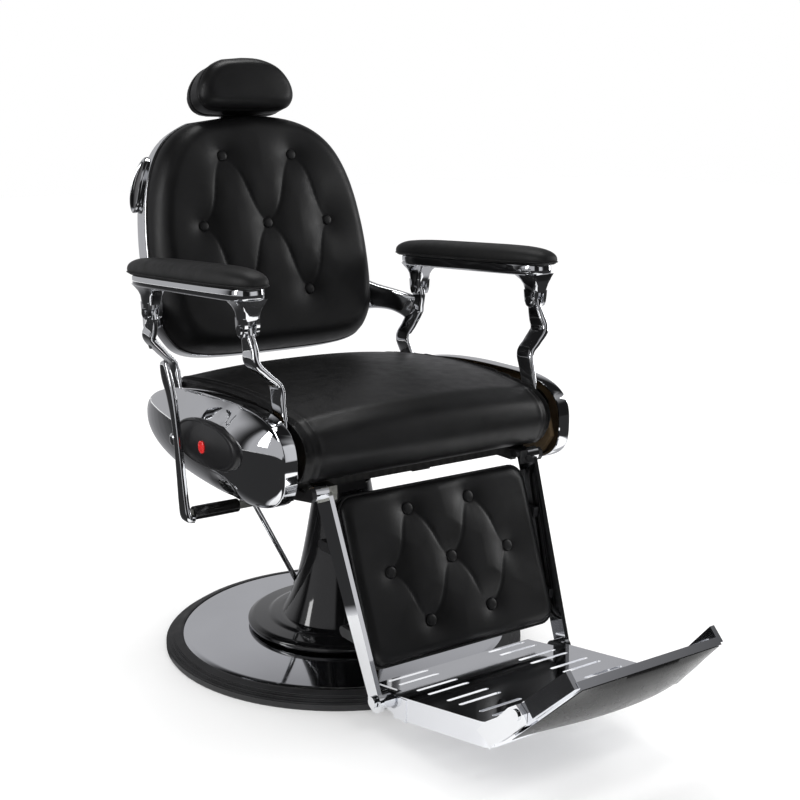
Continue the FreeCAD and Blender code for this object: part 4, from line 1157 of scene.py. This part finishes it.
def room_material():
    mat = bpy.data.materials.new("room_glow")
    mat.use_nodes = True
    tree = mat.node_tree
    tree.nodes.clear()
    glow = tree.nodes.new("ShaderNodeEmission")
    tone = tree.nodes.new("ShaderNodeAttribute")
    tone.attribute_name = "glow"
    out = tree.nodes.new("ShaderNodeOutputMaterial")
    tree.links.new(tone.outputs["Color"], glow.inputs["Color"])
    tree.links.new(glow.outputs["Emission"], out.inputs["Surface"])
    return mat


def only_in_reflections(obj):
    obj.visible_camera = False
    obj.visible_diffuse = False
    obj.visible_transmission = False
    obj.visible_shadow = False


def make_room():
    """Dim room with soft cards, met only by reflections, over a dark outer floor."""
    cols, rows, radius = 144, 56, 6.0
    verts, tones = [], []
    toward = math.degrees(math.atan2(0.8222, 0.5692))
    for i in range(rows + 1):
        height = -2 + 92 * i / rows
        for j in range(cols):
            azimuth = 360 * j / cols
            c = math.cos(math.radians(height)) * radius
            angle = math.radians(azimuth + toward)
            verts.append((c * math.cos(angle), c * math.sin(angle),
                          math.sin(math.radians(height)) * radius))
            tones.append(room_tone(azimuth, height))
    faces = []
    for i in range(rows):
        for j in range(cols):
            k = (j + 1) % cols
            faces.append((i * cols + j, i * cols + k, (i + 1) * cols + k, (i + 1) * cols + j))
    base = len(verts)
    inner = 0.95
    floor_x, floor_y = -0.05, -0.85
    for r in (inner, inner + 0.05, radius):
        for j in range(cols):
            angle = math.radians(360 * j / cols + toward)
            verts.append((floor_x + r * math.cos(angle), floor_y + r * math.sin(angle), 0.002))
            away = abs((360 * j / cols + 180) % 360 - 180)
            dark = 0.03 + 0.40 * (1 - smooth_step(25, 55, away))
            tones.append(0.75 if r == inner else dark)
    for i in range(2):
        for j in range(cols):
            k = (j + 1) % cols
            a = base + i * cols
            faces.append((a + j, a + k, a + cols + k, a + cols + j))
    room = mesh_object("studio_room", verts, faces)
    layer = room.data.color_attributes.new("glow", "FLOAT_COLOR", "POINT")
    for item, tone in zip(layer.data, tones):
        item.color = (tone, tone, tone * 1.03, 1)
    dress(room, room_material())
    only_in_reflections(room)


def make_world():
    """Plain white surroundings."""
    world = bpy.data.worlds.new("studio")
    bpy.context.scene.world = world
    world.use_nodes = True
    back = world.node_tree.nodes["Background"]
    back.inputs["Color"].default_value = (1, 1, 1, 1)
    back.inputs["Strength"].default_value = 1.0


def make_camera():
    """Camera in front of the chair on the sitter's right, a little above it."""
    data = bpy.data.cameras.new("camera")
    data.lens = 59.06
    data.sensor_width = 36.0
    obj = bpy.data.objects.new("camera", data)
    place = Vector((-1.3094, -2.0866, 1.0164))
    look = Vector((0.5560, 0.8032, -0.2138))
    obj.location = place
    obj.rotation_euler = look.to_track_quat("-Z", "Y").to_euler()
    bpy.context.scene.collection.objects.link(obj)
    bpy.context.scene.camera = obj


def make_studio():
    make_floor()
    make_room()
    make_world()
    aim = (0, 0, 0.6)
    area_light("right_box", (2.5, -0.9, 1.3), aim, 0.7, 1.9, 20)
    area_light("left_box", (-2.4, 0.7, 1.5), aim, 0.4, 1.7, 14)
    area_light("front_box", (-0.5, -3.1, 2.9), aim, 1.0, 0.5, 16, mirrored_in_chrome=False)
    area_light("top_box", (0.5, 0.9, 2.9), aim, 1.2, 0.7, 15)
    bpy.context.scene.view_settings.view_transform = "Standard"


dress_frame()
for node, width in (("footplate", 0.0012), ("flap_plate", 0.002), ("legrest_arms", 0.002),
                    ("seat_frame", 0.001),
                    ("flap_brackets", 0.0015), ("lever_shaft", 0.0008), ("arm_bolts_left", 0.001),
                    ("arm_bolts_right", 0.001), ("base_ring", 0.0006)):
    soften_edges(node, width)
make_base()
make_back()
make_back_shell()
make_headrest()
make_legrest()
make_seat()
make_flap_pad()
make_badges()
make_levers()
make_seat_bracket()
make_handle_cups()
make_grab_bar()
make_post_caps()
make_foot_strips()
for name, side in SIDES.items():
    make_arm_pad(name, side)
    make_panel(name, side)
    make_side_pad(name, side)
    make_support("front_support", name, side, FRONT_BOLT, FRONT_BENDS, FRONT_PIVOT, "front_link_" + name)
    make_support("rear_support", name, side, REAR_BOLT, REAR_BENDS, REAR_PIVOT, "backrest")
    make_arm_plate(name, side)
    make_back_bracket(name, side)
make_studio()
make_camera()
